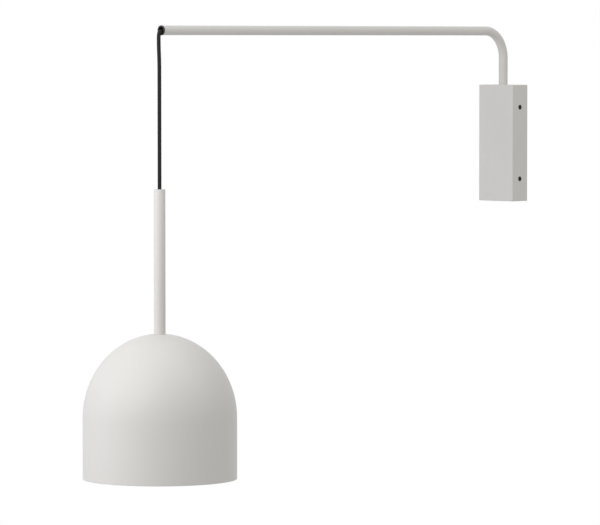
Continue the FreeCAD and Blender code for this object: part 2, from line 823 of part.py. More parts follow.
def quarter_ellipse(sketch, across, up, centre_level, end_level):
    """Arc of an ellipse about the sketch's V axis, from its widest point up to end_level."""
    centre = Vector(0, centre_level, 0)
    top = Vector(0, centre_level + up.number, 0)
    ellipse = Part.Ellipse(top, Vector(-across.number, centre_level, 0), centre)
    end_angle = -math.acos((end_level.number - centre_level) / up.number)
    arc = sketch.addGeometry(Part.ArcOfEllipse(ellipse, -math.pi / 2, end_angle))
    sketch.exposeInternalGeometry(arc)
    sketch.addConstraint(Sketcher.Constraint("Vertical", arc + 1))
    for axis, size in ((arc + 1, up * 2), (arc + 2, across * 2)):
        index = sketch.addConstraint(Sketcher.Constraint("Distance", axis, size.number))
        sketch.setExpression(f"Constraints[{index}]", size.text)
    sketch.addConstraint(Sketcher.Constraint("Horizontal", arc, 3, arc, 1))
    index = sketch.addConstraint(Sketcher.Constraint("DistanceY", -1, 1, arc, 2, end_level.number))
    sketch.setExpression(f"Constraints[{index}]", end_level.text)
    return arc


def make_shade():
    """Spun sheet: a dome a little taller than half a ball, a straight skirt, and a flat for the stem."""
    radius = cell("shade_diameter") / 2
    dome = radius + cell("dome_stretch")
    wall = cell("shade_sheet")
    land = cell("shade_land") / 2
    height = cell("shade_height")
    hole = cell("nipple_diameter") / 2 + cell("seat_gap") * 2
    widest = -dome.number * math.sqrt(1 - (land.number / radius.number) ** 2)

    body = new_body("shade")
    sketch = new_sketch(body, "XZ_Plane", "shade_outline")
    outside = quarter_ellipse(sketch, radius, dome, widest, as_size(0.0))
    inside = quarter_ellipse(sketch, radius - wall, dome - wall, widest, -wall)
    sketch.addConstraint(Sketcher.Constraint("PointOnObject", outside, 3, -2))
    sketch.addConstraint(Sketcher.Constraint("Coincident", outside, 3, inside, 3))
    index = sketch.addConstraint(Sketcher.Constraint("DistanceX", -1, 1, outside, 2, land.number))
    sketch.setExpression(f"Constraints[{index}]", land.text)
    lower = [Vector(radius.number, widest, 0), Vector(radius.number, -height.number, 0),
             Vector(radius.number - wall.number, -height.number, 0),
             Vector(radius.number - wall.number, widest, 0)]
    upper = [sketch.Geometry[inside].EndPoint, Vector(hole.number, -wall.number, 0),
             Vector(hole.number, 0, 0), Vector(land.number, 0, 0)]
    chains = []
    for points in (lower, upper):
        chains.append([sketch.addGeometry(Part.LineSegment(start, end))
                       for start, end in zip(points, points[1:])])
    skirt, crown = chains
    joints = [(outside, 1, skirt[0], 1), (skirt[0], 2, skirt[1], 1), (skirt[1], 2, skirt[2], 1),
              (skirt[2], 2, inside, 1), (inside, 2, crown[0], 1), (crown[0], 2, crown[1], 1),
              (crown[1], 2, crown[2], 1), (crown[2], 2, outside, 2)]
    for joint in joints:
        sketch.addConstraint(Sketcher.Constraint("Coincident", *joint))
    for kind, edge in (("Vertical", skirt[0]), ("Horizontal", skirt[1]), ("Vertical", skirt[2]),
                       ("Horizontal", crown[0]), ("Vertical", crown[1])):
        sketch.addConstraint(Sketcher.Constraint(kind, edge))
    fixed = [("DistanceY", skirt[0], 2, -height), ("DistanceX", crown[1], 2, hole)]
    for kind, edge, end, size in fixed:
        index = sketch.addConstraint(Sketcher.Constraint(kind, -1, 1, edge, end, size.number))
        sketch.setExpression(f"Constraints[{index}]", size.text)
    feature = body.newObject("PartDesign::Revolution", "shade_turn")
    feature.Profile = sketch
    feature.ReferenceAxis = (sketch, ["V_Axis"])
    feature.Angle = 360
    keep("shade", put(body, hang_x, 0, stem_foot))

    clear = cell("nipple_diameter") + cell("seat_gap") * 2
    keep("shade_washer", ring("shade_washer", cell("shade_land") - cell("shade_washer_edge") * 2, clear,
                              cell("washer_sheet"), hang_x, 0, shade_nut_top))
    keep("shade_nut", nut("shade_nut", cell("shade_nut_flats"), cell("nipple_diameter"),
                          cell("shade_nut_height"), hang_x, 0, holder_top))


# ---------------------------------------------------------------- lampholder


def make_holder_shell():
    """Cap on the nipple, its grub screw and the skirt that plugs into it."""
    outer = cell("holder_diameter") / 2
    neck = cell("holder_neck") / 2
    wall = cell("holder_wall")
    thread = cell("nipple_diameter") / 2
    neck_foot = -cell("holder_neck_height")
    shoulder = neck_foot - cell("holder_shoulder")
    foot = -cell("holder_cap_height")
    cap = [(thread, 0), (neck, 0), (neck, neck_foot), (outer, shoulder), (outer, foot),
           (outer - wall, foot), (outer - wall, shoulder), (neck, neck_foot - wall),
           (thread, neck_foot - wall)]
    cap_body = turned("holder_cap", cap, x=hang_x, z=holder_top)
    grub = cell("grub_diameter")
    level = holder_top + neck_foot / 2
    hole = cylinder("holder_grub_hole", grub, neck + 1, hang_x, thread, level, ALONG_Y)
    keep("holder_cap", cut("holder_cap", cap_body, hole))
    length = neck - thread - cell("grub_recess")
    depth = length * 0.45
    blank = cylinder("holder_grub_blank", grub, length, hang_x, thread, level, ALONG_Y)
    socket = hexagon("holder_grub_socket", grub / 2, depth, hang_x, thread + length - depth, level, ALONG_Y)
    keep("holder_grub_screw", cut("holder_grub_screw", blank, socket))

    skirt = cell("holder_skirt_height")
    mouth = cell("bulb_cap_diameter") / 2 + cell("holder_mouth_gap")
    spigot = outer - wall - cell("seat_gap")
    top = skirt + cell("holder_spigot_height")
    sleeve = [(mouth, 0), (outer, 0), (outer, skirt), (spigot, skirt), (spigot, top),
              (spigot - wall, top), (spigot - wall, skirt - wall), (outer - wall, skirt - wall),
              (outer - wall, cell("holder_lip_height")), (mouth, cell("holder_lip_height"))]
    keep("holder_body", turned("holder_body", sleeve, x=hang_x, z=holder_foot))


def make_holder_inside():
    """Ceramic core with its terminals, the threaded shell and the centre contact."""
    radius = cell("holder_diameter") / 2 - (cell("holder_wall") + cell("seat_gap")) * 2
    depth = cell("core_port_depth")
    core = cylinder("holder_core_disc", radius * 2, cell("core_height"), hang_x, 0, core_foot)
    ports = []
    screws = []
    for index, (x, y) in enumerate(core_ports):
        ports.append(cylinder(f"holder_core_port_{index}", cell("core_port_diameter"), depth,
                              hang_x + x, y, core_top - depth))
        screws.append(pan_screw(f"holder_screw_{index}", cell("core_screw_thread"), cell("core_screw_head"),
                                depth - cell("core_screw_thread"), hang_x + x, y,
                                core_top - cell("core_screw_thread"), UPRIGHT))
    keep("holder_core", cut("holder_core", core, *ports))
    keep("holder_terminal_screws", group("holder_terminal_screws", *screws))

    bore = cell("bulb_cap_diameter") / 2 + cell("bulb_cap_gap")
    sheet_size = cell("shell_sheet")
    height = cell("shell_height")
    inner = bore - cell("shell_flange")
    shell = [(inner, -sheet_size), (bore, -sheet_size), (bore, -height), (bore + sheet_size, -height),
             (bore + sheet_size, 0), (inner, 0)]
    keep("screw_shell", turned("screw_shell", shell, x=hang_x, z=core_foot))
    keep("centre_contact", cylinder("centre_contact", cell("contact_diameter"), cell("contact_height"),
                                    hang_x, 0, bulb_top))


def make_holder_wires():
    """Three cores from the cable's end to the lampholder's terminals."""
    wire = cell("wire_diameter")
    wires = []
    for index, (x, y) in enumerate(core_ports):
        start = (hang_x + x * 0.1, y * 0.25)
        bend = (hang_x + x * 0.7, y * 0.7)
        route = [(*start, stem_cable_foot), (*start, stem_cable_foot - 1.5),
                 (*bend, core_top + 3.2), (hang_x + x, y, core_top + 0.2)]
        wires.append(cord(f"holder_wire_{index}", route, wire))
    keep("holder_wires", group("holder_wires", *wires))


# ---------------------------------------------------------------- bulb


def make_bulb_cap():
    """Contact tip, insulator and threaded metal cap of the bulb."""
    cap = cell("bulb_cap_diameter") / 2
    tip = cell("bulb_tip_diameter") / 2
    tip_foot = -cell("bulb_tip_height")
    keep("bulb_tip", turned("bulb_tip", [(0, 0), (tip * 0.6, 0), (tip, tip_foot * 0.6), (tip, tip_foot),
                                         (0, tip_foot)], x=hang_x, z=bulb_top))
    insulator_foot = -cell("bulb_insulator_height")
    edge = cap - 2
    insulator = [(0, tip_foot), (tip + 0.5, tip_foot), (edge, insulator_foot + 2), (edge, insulator_foot),
                 (0, insulator_foot)]
    keep("bulb_insulator", turned("bulb_insulator", insulator, x=hang_x, z=bulb_top))
    pitch = cell("bulb_thread_pitch")
    valley = cap - cell("bulb_thread_depth")
    shoulder = insulator_foot - 1
    base = [(0, insulator_foot), (valley, insulator_foot), (cap, shoulder)]
    for turn in range(4):
        crest = shoulder - pitch * turn
        base += [(cap, crest - pitch / 3), (valley, crest - pitch * 2 / 3), (cap, crest - pitch)]
    base += [(cap, -cell("bulb_cap_height")), (0, -cell("bulb_cap_height"))]
    keep("bulb_base", turned("bulb_base", base, x=hang_x, z=bulb_top))


def make_bulb_globe():
    """Collar, opal globe cut open where the collar meets it, and the light source in its mouth."""
    cap = cell("bulb_cap_diameter") / 2
    globe = cell("bulb_globe_diameter") / 2
    mouth = cell("bulb_globe_mouth") / 2
    wall = cell("bulb_collar_wall")
    rise_number = math.sqrt(globe.number**2 - mouth.number**2)
    rise = Size(rise_number, f"sqrt({globe.text} * {globe.text} - {mouth.text} * {mouth.text})")
    collar_foot = globe_centre + rise
    height = cap_foot - collar_foot
    collar = [(0, 0), (cap + 0.6, 0), (cap + 1.2, height / -3), (mouth, -height), (mouth - wall, -height),
              (mouth - wall, wall - height), (0, wall - height)]
    keep("bulb_collar", turned("bulb_collar", collar, x=hang_x, z=cap_foot))
    outside = document.addObject("Part::Sphere", "bulb_globe_outside")
    bind(outside, Radius=globe)
    put(outside, hang_x, 0, globe_centre)
    inside = document.addObject("Part::Sphere", "bulb_globe_inside")
    bind(inside, Radius=globe - cell("bulb_glass"))
    put(inside, hang_x, 0, globe_centre)
    above = cylinder("bulb_globe_above", globe * 3, globe * 2, hang_x, 0, collar_foot)
    keep("bulb_globe", cut("bulb_globe", outside, inside, above))
    led = (mouth - wall - cell("seat_gap")) * 2
    sheet_size = cell("led_sheet")
    keep("led_plate", cylinder("led_plate", led, sheet_size, hang_x, 0, collar_foot + wall - sheet_size))


# ---------------------------------------------------------------- electrics in the box


def make_terminal_block():
    """Three-pole block: a wire port for each pole above and below, and two screw wells in front."""
    back = cell("bracket_sheet")
    depth = cell("block_depth")
    height = cell("block_height")
    inset = cell("sleeve_inset")
    thread = cell("pole_screw_thread")
    head = cell("pole_screw_head")
    base = block("terminal_block_blank", depth, cell("block_width"), height,
                 back, -(cell("block_width") / 2), block_foot)
    tools = []
    sleeves = []
    screws = []
    for pole in (-1, 0, 1):
        offset = cell("pole_pitch") * pole
        tools.append(cylinder(f"pole_port_{pole + 1}", cell("pole_port"), height, pole_x, offset, block_foot))
        sleeves.append(ring(f"pole_sleeve_{pole + 1}", cell("pole_port"), cell("sleeve_bore"),
                            height - inset * 2, pole_x, offset, block_foot + inset))
        for row in (-1, 1):
            level = block_middle + cell("pole_screw_offset") * row
            name = f"pole_{pole + 1}_{row + 1}"
            tools.append(cylinder(name + "_well", head + 0.6, depth / 2, pole_x, offset, level, ALONG_X))
            screws.append(pan_screw(name + "_screw", thread, head, thread, pole_x + 2.6 + thread,
                                    offset, level, ALONG_X))
    bore = cell("small_screw_thread") + cell("small_screw_play")
    fixing = []
    for side in (-1, 1):
        offset = block_screw_offset * side
        tools.append(cylinder(f"block_bore_{side + 1}", bore, depth, back, offset, block_middle, ALONG_X))
        fixing.append(pan_screw(f"block_screw_{side + 1}", cell("small_screw_thread"),
                                cell("small_screw_head"), depth + back, back + depth, offset,
                                block_middle, ALONG_X))
    keep("terminal_block", cut("terminal_block", base, *tools))
    keep("terminal_sleeves", group("terminal_sleeves", *sleeves))
    keep("terminal_screws", group("terminal_screws", *screws))
    keep("block_screws", group("block_screws", *fixing))


def make_cord_clamp():
    """Saddle that holds the lamp cable down on the bracket."""
    back = cell("bracket_sheet")
    width = cell("clamp_width")
    height = cell("clamp_height")
    sheet_size = cell("clamp_foot_sheet")
    cover = cell("clamp_cover")
    tube = cell("cord_diameter")
    feet = block("clamp_feet", sheet_size, width, height, back, -(width / 2), clamp_foot)
    bridge = block("clamp_bridge", tube + cover, tube + cover * 2, height,
                   back, -(cord_radius + cover), clamp_foot)
    channel = cylinder("clamp_channel", tube, height, cable_x, 0, clamp_foot)
    mouth = block("clamp_mouth", cord_radius, tube, height, back, -cord_radius, clamp_foot)
    holes = []
    screws = []
    for side in (-1, 1):
        offset = clamp_screw_offset * side
        holes.append(cylinder(f"clamp_hole_{side + 1}", cell("small_screw_thread") + cell("small_screw_play"),
                              sheet_size, back, offset, cell("clamp_level"), ALONG_X))
        screws.append(pan_screw(f"clamp_screw_{side + 1}", cell("small_screw_thread"),
                                cell("small_screw_head"), sheet_size + back, back + sheet_size, offset,
                                cell("clamp_level"), ALONG_X))
    keep("cord_clamp", cut("cord_clamp", join("clamp_body", feet, bridge), channel, mouth, *holes))
    keep("clamp_screws", group("clamp_screws", *screws))


def make_earth_point():
    """Ring tag and screw on the bracket."""
    back = cell("bracket_sheet")
    sheet_size = cell("earth_tag_sheet")
    offset = -cell("earth_offset")
    level = cell("earth_level")
    length = cell("earth_barrel_length")
    barrel_top = earth_barrel_foot + length
    tag_inner = cell("small_screw_thread") + cell("small_screw_play")
    tag = ring("earth_tag", cell("earth_tag_outer"), tag_inner, sheet_size, back, offset, level, ALONG_X)
    neck = cell("earth_barrel_outer") * 0.8
    neck_foot = barrel_top - cell("earth_barrel_outer") / 2
    neck_top = level - tag_inner / 2 - 1
    bridge = block("earth_bridge", sheet_size, neck, neck_top - neck_foot, back, offset - neck / 2, neck_foot)
    barrel = cylinder("earth_barrel", cell("earth_barrel_outer"), length, earth_barrel_x, offset,
                      earth_barrel_foot)
    bore = cylinder("earth_barrel_bore", cell("wire_diameter"), length, earth_barrel_x, offset,
                    earth_barrel_foot)
    keep("earth_ring", cut("earth_ring", join("earth_ring_body", tag, bridge, barrel), bore))
    keep("earth_screw", pan_screw("earth_screw", cell("small_screw_thread"), cell("small_screw_head") + 1,
                                  sheet_size + back, back + sheet_size, offset, level, ALONG_X))


def make_box_wires():
    """Cores from the cable's end to the block, and the block's earth lead to the bracket."""
    wire = cell("wire_diameter")
    spread = wire * 0.585
    port_end = block_top - 2
    for label, side in (("live_wire", 1), ("neutral_wire", -1)):
        core_x = cable_x - wire * 0.34
        pole_y = cell("pole_pitch") * side
        route = [(core_x, spread * side, cable_end), (core_x, spread * side, cable_end - 2),
                 (pole_x - 1, pole_y * 0.85, block_top + 2.2), (pole_x, pole_y, port_end)]
        keep(label, cord(label, route, wire))
    core_x = cable_x + wire * 0.68
    lamp_core = cord("lamp_earth_core", [(core_x, 0, cable_end), (core_x, 0, cable_end - 2),
                                         (pole_x - 0.8, 0, block_top + 1.6), (pole_x - 0.8, 0, port_end)],
                     wire)
    offset = -cell("earth_offset")
    link = cord("earth_link", [(pole_x + 0.8, 0, port_end), (pole_x + 0.8, 0, block_top + 2.5),
                               (pole_x + 3, -6, block_top + 6), (earth_barrel_x, offset + 2, block_top + 8),
                               (earth_barrel_x, offset, earth_barrel_foot - 4),
                               (earth_barrel_x, offset, earth_barrel_foot + 4)], wire)
    keep("earth_wires", group("earth_wires", lamp_core, link))


# ---------------------------------------------------------------- build, check and write


def check_document():
    """Stop if any object failed or any sub-part isn't a sound solid."""
    document.recompute()
    for item in document.Objects:
        if "Invalid" in item.State or "Error" in item.State:
            raise RuntimeError(f"{item.Name} failed: {item.State}")
    for label, part in sub_parts.items():
        shape = part.Shape
        if shape.isNull() or not shape.isValid() or not shape.Solids:
            raise RuntimeError(f"{label} isn't a sound solid")


def write_parts():
    os.makedirs("parts", exist_ok=True)
    for label, part in sub_parts.items():
        part.Shape.exportStep(f"parts/{label}.step")
        box = part.Shape.BoundBox
        print(f"{label}: {len(part.Shape.Solids)} solid(s), {part.Shape.Volume:.1f} mm3, "
              f"x {box.XMin:.2f}..{box.XMax:.2f}, y {box.YMin:.2f}..{box.YMax:.2f}, "
              f"z {box.ZMin:.2f}..{box.ZMax:.2f}")


make_wall_bracket()
make_box_body()
make_side_screws()
make_pivot_housing()
make_pivot_bush()
make_thrust_washers()
make_stop_pin()
make_stop_plate()
make_pivot_stack()
make_arm_tube()
make_pivot_stub()
make_tip_grommet()
make_cables()
make_stem()
make_shade()
make_holder_shell()
make_holder_inside()
make_holder_wires()
make_bulb_cap()
make_bulb_globe()
make_terminal_block()
make_cord_clamp()
make_earth_point()
make_box_wires()
check_document()
write_parts()
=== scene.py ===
"""Looks of the hanging pendant wall sconce: painted metal, braided cord, and the lamp inside."""

import json
import math

import bmesh
import bpy
from mathutils import Matrix, Vector


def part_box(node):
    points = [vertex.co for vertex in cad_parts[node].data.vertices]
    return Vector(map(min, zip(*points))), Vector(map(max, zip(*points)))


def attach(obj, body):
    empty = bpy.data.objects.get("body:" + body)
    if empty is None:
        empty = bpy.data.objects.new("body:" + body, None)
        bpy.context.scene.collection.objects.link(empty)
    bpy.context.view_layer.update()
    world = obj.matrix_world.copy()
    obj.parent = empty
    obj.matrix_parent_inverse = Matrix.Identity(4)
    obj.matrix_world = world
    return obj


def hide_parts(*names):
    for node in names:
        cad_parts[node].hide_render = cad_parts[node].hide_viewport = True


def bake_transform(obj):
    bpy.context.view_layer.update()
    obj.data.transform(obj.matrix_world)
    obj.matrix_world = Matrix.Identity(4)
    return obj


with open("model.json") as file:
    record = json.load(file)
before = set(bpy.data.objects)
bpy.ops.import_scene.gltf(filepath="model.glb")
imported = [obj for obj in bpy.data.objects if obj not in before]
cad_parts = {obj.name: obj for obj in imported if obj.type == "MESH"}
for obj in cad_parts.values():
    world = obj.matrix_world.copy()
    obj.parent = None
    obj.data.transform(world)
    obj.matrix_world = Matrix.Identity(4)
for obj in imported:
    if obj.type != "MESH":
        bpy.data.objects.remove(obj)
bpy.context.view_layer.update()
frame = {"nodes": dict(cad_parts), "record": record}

# ---------------------------------------------------------------- places read from the frame, in metres

BOX_LOW, BOX_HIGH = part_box("box_body")
ARM_LOW, ARM_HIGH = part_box("arm_tube")
GROMMET_LOW, GROMMET_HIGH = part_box("tip_grommet")
EXIT_LOW, EXIT_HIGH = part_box("cord_exit")
STEM_LOW, STEM_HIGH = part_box("stem_tube")
SHADE_LOW, SHADE_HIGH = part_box("shade")
SCREW_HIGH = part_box("side_screws_left")[1]
HOLDER_LOW, HOLDER_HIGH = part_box("holder_body")
GLOBE_LOW, GLOBE_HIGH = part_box("bulb_globe")
COLLAR_LOW, COLLAR_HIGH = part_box("bulb_collar")

PIVOT_X = (BOX_LOW.x + BOX_HIGH.x) / 2
ARM_RADIUS = ARM_HIGH.y
ARM_LEVEL = ARM_HIGH.z - ARM_RADIUS
HANG_X = (STEM_LOW.x + STEM_HIGH.x) / 2
CORD_RADIUS = EXIT_HIGH.y
STEM_RADIUS = STEM_HIGH.y
SHADE_RADIUS = (SHADE_HIGH.x - SHADE_LOW.x) / 2
SCREW_HEAD_RADIUS = 0.00275
SCREW_LEVEL = SCREW_HIGH.z - SCREW_HEAD_RADIUS

MM = 0.001
BEND_RADIUS = 30 * MM
ARM_WALL = 1 * MM
GROMMET_BORE = 3.5 * MM
BOX_WALL = 2 * MM
BOX_EDGE = 0.8 * MM
ARM_HOLE_RADIUS = ARM_RADIUS + 0.35 * MM
SCREW_BORE = 1.55 * MM
SCREW_SINK = 1.25 * MM
HOLE_CHAMFER = 0.15 * MM
SHADE_DOME = 87 * MM
SHADE_WALL = 1 * MM
SHADE_LAND = 8 * MM
SHADE_HOLE = 5.1 * MM
BRAID_STRANDS = 8
BRAID_PITCH = 13 * MM
BRAID_FILAMENTS = 5
STEM_TAPPED = 5 * MM
STEM_BORE = 4.5 * MM
STEM_SEAT = 13 * MM
SEAT_GAP = 0.05 * MM
HOLDER_MOUTH = 15.5 * MM
HOLDER_WALL = 2 * MM
HOLDER_SPIGOT = 4 * MM
HOLDER_LIP = 3 * MM
GRIP_RINGS = 5
GRIP_PITCH = 1.8 * MM
GRIP_LEVEL = 4 * MM
GRIP_DEPTH = 0.35 * MM
GLOBE_WALL = 1 * MM
COLLAR_NECK = 13.7 * MM
COLLAR_SHOULDER = 14.3 * MM
COLLAR_WALL = 2 * MM
SOCKET_RADIUS = 1.0 * MM
SOCKET_DEPTH = 1.2 * MM
SHANK_RADIUS = 1.5 * MM

# ---------------------------------------------------------------- materials


class Finish:
    """A material whose nodes read the object's own coordinates, which are metres."""

    def __init__(self, name, colour, roughness, metallic=0.0):
        self.material = bpy.data.materials.new(name)
        self.material.use_nodes = True
        self.nodes = self.material.node_tree.nodes
        self.links = self.material.node_tree.links
        self.shader = self.nodes["Principled BSDF"]
        self.shader.inputs["Base Color"].default_value = (*colour, 1)
        self.shader.inputs["Roughness"].default_value = roughness
        self.shader.inputs["Metallic"].default_value = metallic
        self.place = self.nodes.new("ShaderNodeTexCoord").outputs["Object"]

    def noise(self, scale, detail=3.0, stretch=(1, 1, 1)):
        mapping = self.nodes.new("ShaderNodeMapping")
        mapping.inputs["Scale"].default_value = stretch
        self.links.new(self.place, mapping.inputs["Vector"])
        texture = self.nodes.new("ShaderNodeTexNoise")
        texture.inputs["Scale"].default_value = scale
        texture.inputs["Detail"].default_value = detail
        self.links.new(mapping.outputs["Vector"], texture.inputs["Vector"])
        return texture.outputs["Fac"]

    def carried(self, name):
        """A number that the mesh carries at each of its points."""
        attribute = self.nodes.new("ShaderNodeAttribute")
        attribute.attribute_name = name
        return attribute.outputs["Fac"]

    def arithmetic(self, operation, first, second=None):
        """First is an output; second is an output or a number."""
        node = self.nodes.new("ShaderNodeMath")
        node.operation = operation
        self.links.new(first, node.inputs[0])
        if isinstance(second, bpy.types.NodeSocket):
            self.links.new(second, node.inputs[1])
        elif second is not None:
            node.inputs[1].default_value = second
        return node.outputs["Value"]

    def vary_colour(self, height, darker, lighter, low=0.3, high=0.7):
        """Blend two colours over a height; most finishes use it for a real finish's uneven tone, the cord
        for painted shade.
        """
        ramp = self.nodes.new("ShaderNodeValToRGB")
        ramp.color_ramp.elements[0].position = low
        ramp.color_ramp.elements[0].color = (*darker, 1)
        ramp.color_ramp.elements[1].position = high
        ramp.color_ramp.elements[1].color = (*lighter, 1)
        self.links.new(height, ramp.inputs["Fac"])
        self.links.new(ramp.outputs["Color"], self.shader.inputs["Base Color"])

    def vary_roughness(self, height, low, high):
        spread = self.nodes.new("ShaderNodeMapRange")
        spread.inputs["To Min"].default_value = low
        spread.inputs["To Max"].default_value = high
        self.links.new(height, spread.inputs["Value"])
        self.links.new(spread.outputs["Result"], self.shader.inputs["Roughness"])

    def bump(self, height, depth, strength=1.0):
        """Raise the surface by up to depth metres; several bumps add up."""
        bump = self.nodes.new("ShaderNodeBump")
        bump.inputs["Distance"].default_value = depth
        bump.inputs["Strength"].default_value = strength
        self.links.new(height, bump.inputs["Height"])
        normal = self.shader.inputs["Normal"]
        if normal.is_linked:
            self.links.new(normal.links[0].from_socket, bump.inputs["Normal"])
        self.links.new(bump.outputs["Normal"], normal)


def scaled(colour, share):
    return tuple(channel * share for channel in colour)


def powder_coat():
    """Fine matt powder coat, warm off-white, with the slight grain of baked powder."""
    colour = (0.66, 0.655, 0.635)
    finish = Finish("powder_coat", colour, 0.55)
    finish.vary_colour(finish.noise(9, 2), scaled(colour, 0.985), scaled(colour, 1.015))
    finish.vary_roughness(finish.noise(700, 2), 0.5, 0.62)
    finish.bump(finish.noise(420, 2), 0.03 * MM, 0.35)
    finish.bump(finish.noise(2600, 3), 0.02 * MM, 0.5)
    return finish.material


def zinc_plate():
    colour = (0.55, 0.57, 0.60)
    finish = Finish("zinc_plate", colour, 0.35, 1.0)
    finish.vary_colour(finish.noise(500, 5, (1, 1, 0.25)), scaled(colour, 0.9), scaled(colour, 1.05))
    finish.vary_roughness(finish.noise(160, 4), 0.3, 0.44)
    finish.bump(finish.noise(1400, 2, (1, 1, 0.1)), 0.01 * MM, 0.35)
    return finish.material


def turned_steel():
    """Lathe marks run round Z, so the grain is stretched across and tight along it."""
    colour = (0.50, 0.51, 0.53)
    finish = Finish("turned_steel", colour, 0.3, 1.0)
    finish.vary_colour(finish.noise(60, 3), scaled(colour, 0.9), scaled(colour, 1.08))
    finish.vary_roughness(finish.noise(300, 3, (1, 1, 18)), 0.22, 0.42)
    finish.bump(finish.noise(300, 2, (1, 1, 18)), 0.01 * MM, 0.4)
    return finish.material


def spring_steel():
    colour = (0.26, 0.27, 0.30)
    finish = Finish("spring_steel", colour, 0.33, 1.0)
    finish.vary_colour(finish.noise(200, 3), scaled(colour, 0.8), scaled(colour, 1.15))
    return finish.material


def black_oxide():
    colour = (0.008, 0.008, 0.009)
    finish = Finish("black_oxide", colour, 0.42, 0.7)
    finish.vary_roughness(finish.noise(1500, 3), 0.34, 0.5)
    finish.vary_colour(finish.noise(800, 3), scaled(colour, 0.8), scaled(colour, 1.5))
    return finish.material


def bush_bronze():
    colour = (0.50, 0.33, 0.15)
    finish = Finish("bush_bronze", colour, 0.42, 1.0)
    finish.vary_colour(finish.noise(2200, 4), scaled(colour, 0.7), scaled(colour, 1.1))
    return finish.material


def brass():
    colour = (0.72, 0.53, 0.24)
    finish = Finish("brass", colour, 0.25, 1.0)
    finish.vary_colour(finish.noise(160, 4), scaled(colour, 0.85), scaled(colour, 1.05))
    finish.vary_roughness(finish.noise(700, 3), 0.18, 0.36)
    return finish.material


def nickel_plate():
    colour = (0.68, 0.66, 0.62)
    finish = Finish("nickel_plate", colour, 0.24, 1.0)
    finish.vary_roughness(finish.noise(500, 3), 0.18, 0.32)
    finish.vary_colour(finish.noise(90, 3), scaled(colour, 0.92), scaled(colour, 1.04))
    return finish.material


def tinned_copper():
    colour = (0.60, 0.58, 0.54)
    finish = Finish("tinned_copper", colour, 0.34, 1.0)
    finish.vary_colour(finish.noise(700, 4), scaled(colour, 0.8), scaled(colour, 1.08))
    return finish.material


def moulded(name, colour, roughness=0.42, coarse=900):
    """Moulded plastic: even colour with a faint spark-eroded grain."""
    finish = Finish(name, colour, roughness)
    finish.vary_colour(finish.noise(30, 2), scaled(colour, 0.97), scaled(colour, 1.02))
    finish.vary_roughness(finish.noise(coarse, 2), roughness - 0.05, roughness + 0.08)
    finish.bump(finish.noise(coarse * 2, 2), 0.015 * MM, 0.3)
    return finish.material


def black_rubber():
    colour = (0.013, 0.013, 0.014)
    finish = Finish("black_rubber", colour, 0.55)
    finish.shader.inputs["Specular IOR Level"].default_value = 0.3
    finish.vary_roughness(finish.noise(900, 2), 0.42, 0.6)
    finish.vary_colour(finish.noise(400, 3), scaled(colour, 0.8), scaled(colour, 1.3))
    finish.bump(finish.noise(3000, 2), 0.02 * MM, 0.3)
    return finish.material


def ceramic():
    colour = (0.80, 0.78, 0.72)
    finish = Finish("ceramic", colour, 0.22)
    finish.vary_colour(finish.noise(500, 4), scaled(colour, 0.93), scaled(colour, 1.03))
    finish.shader.inputs["Coat Weight"].default_value = 0.4
    return finish.material


def opal_glass():
    colour = (0.86, 0.85, 0.82)
    finish = Finish("opal_glass", colour, 0.16)
    finish.shader.inputs["Subsurface Weight"].default_value = 0.25
    finish.shader.inputs["Subsurface Radius"].default_value = (2 * MM, 2 * MM, 2 * MM)
    finish.vary_colour(finish.noise(40, 2), scaled(colour, 0.985), scaled(colour, 1.01))
    return finish.material


def cord_braid():
    """Textile braid with fine filaments along each strand; painted shade darkens it where strands and
    filaments dip.
    """
    colour = (0.014, 0.014, 0.015)
    finish = Finish("cord_braid", colour, 0.8)
    finish.shader.inputs["Specular IOR Level"].default_value = 0.22
    finish.shader.inputs["Sheen Weight"].default_value = 0.08
    finish.shader.inputs["Sheen Roughness"].default_value = 0.4
    ridges = finish.arithmetic("MULTIPLY", finish.carried("across"), math.tau * BRAID_FILAMENTS)
    ridges = finish.arithmetic("COSINE", ridges)
    ridges = finish.arithmetic("MULTIPLY", ridges, -0.5)
    ridges = finish.arithmetic("ADD", ridges, 0.5)
    # painted shade: the colour darkens between filaments and where strands dip under others, and is lighter
    # on their crowns
    shade = finish.arithmetic("MULTIPLY", ridges, 0.35)
    shade = finish.arithmetic("ADD", shade, 0.65)
    shade = finish.arithmetic("MULTIPLY", shade, finish.carried("height"))
    shade = finish.arithmetic("MULTIPLY", shade, finish.noise(2500, 2))
    finish.vary_colour(shade, scaled(colour, 0.25), scaled(colour, 2.6), 0.05, 0.55)
    finish.bump(ridges, 0.02 * MM, 0.7)
    finish.bump(finish.noise(7000, 2), 0.02 * MM, 0.5)
    return finish.material


def led_board():
    colour = (0.84, 0.84, 0.80)
    finish = Finish("led_board", colour, 0.35)
    finish.vary_colour(finish.noise(300, 2), scaled(colour, 0.95), scaled(colour, 1.02))
    return finish.material


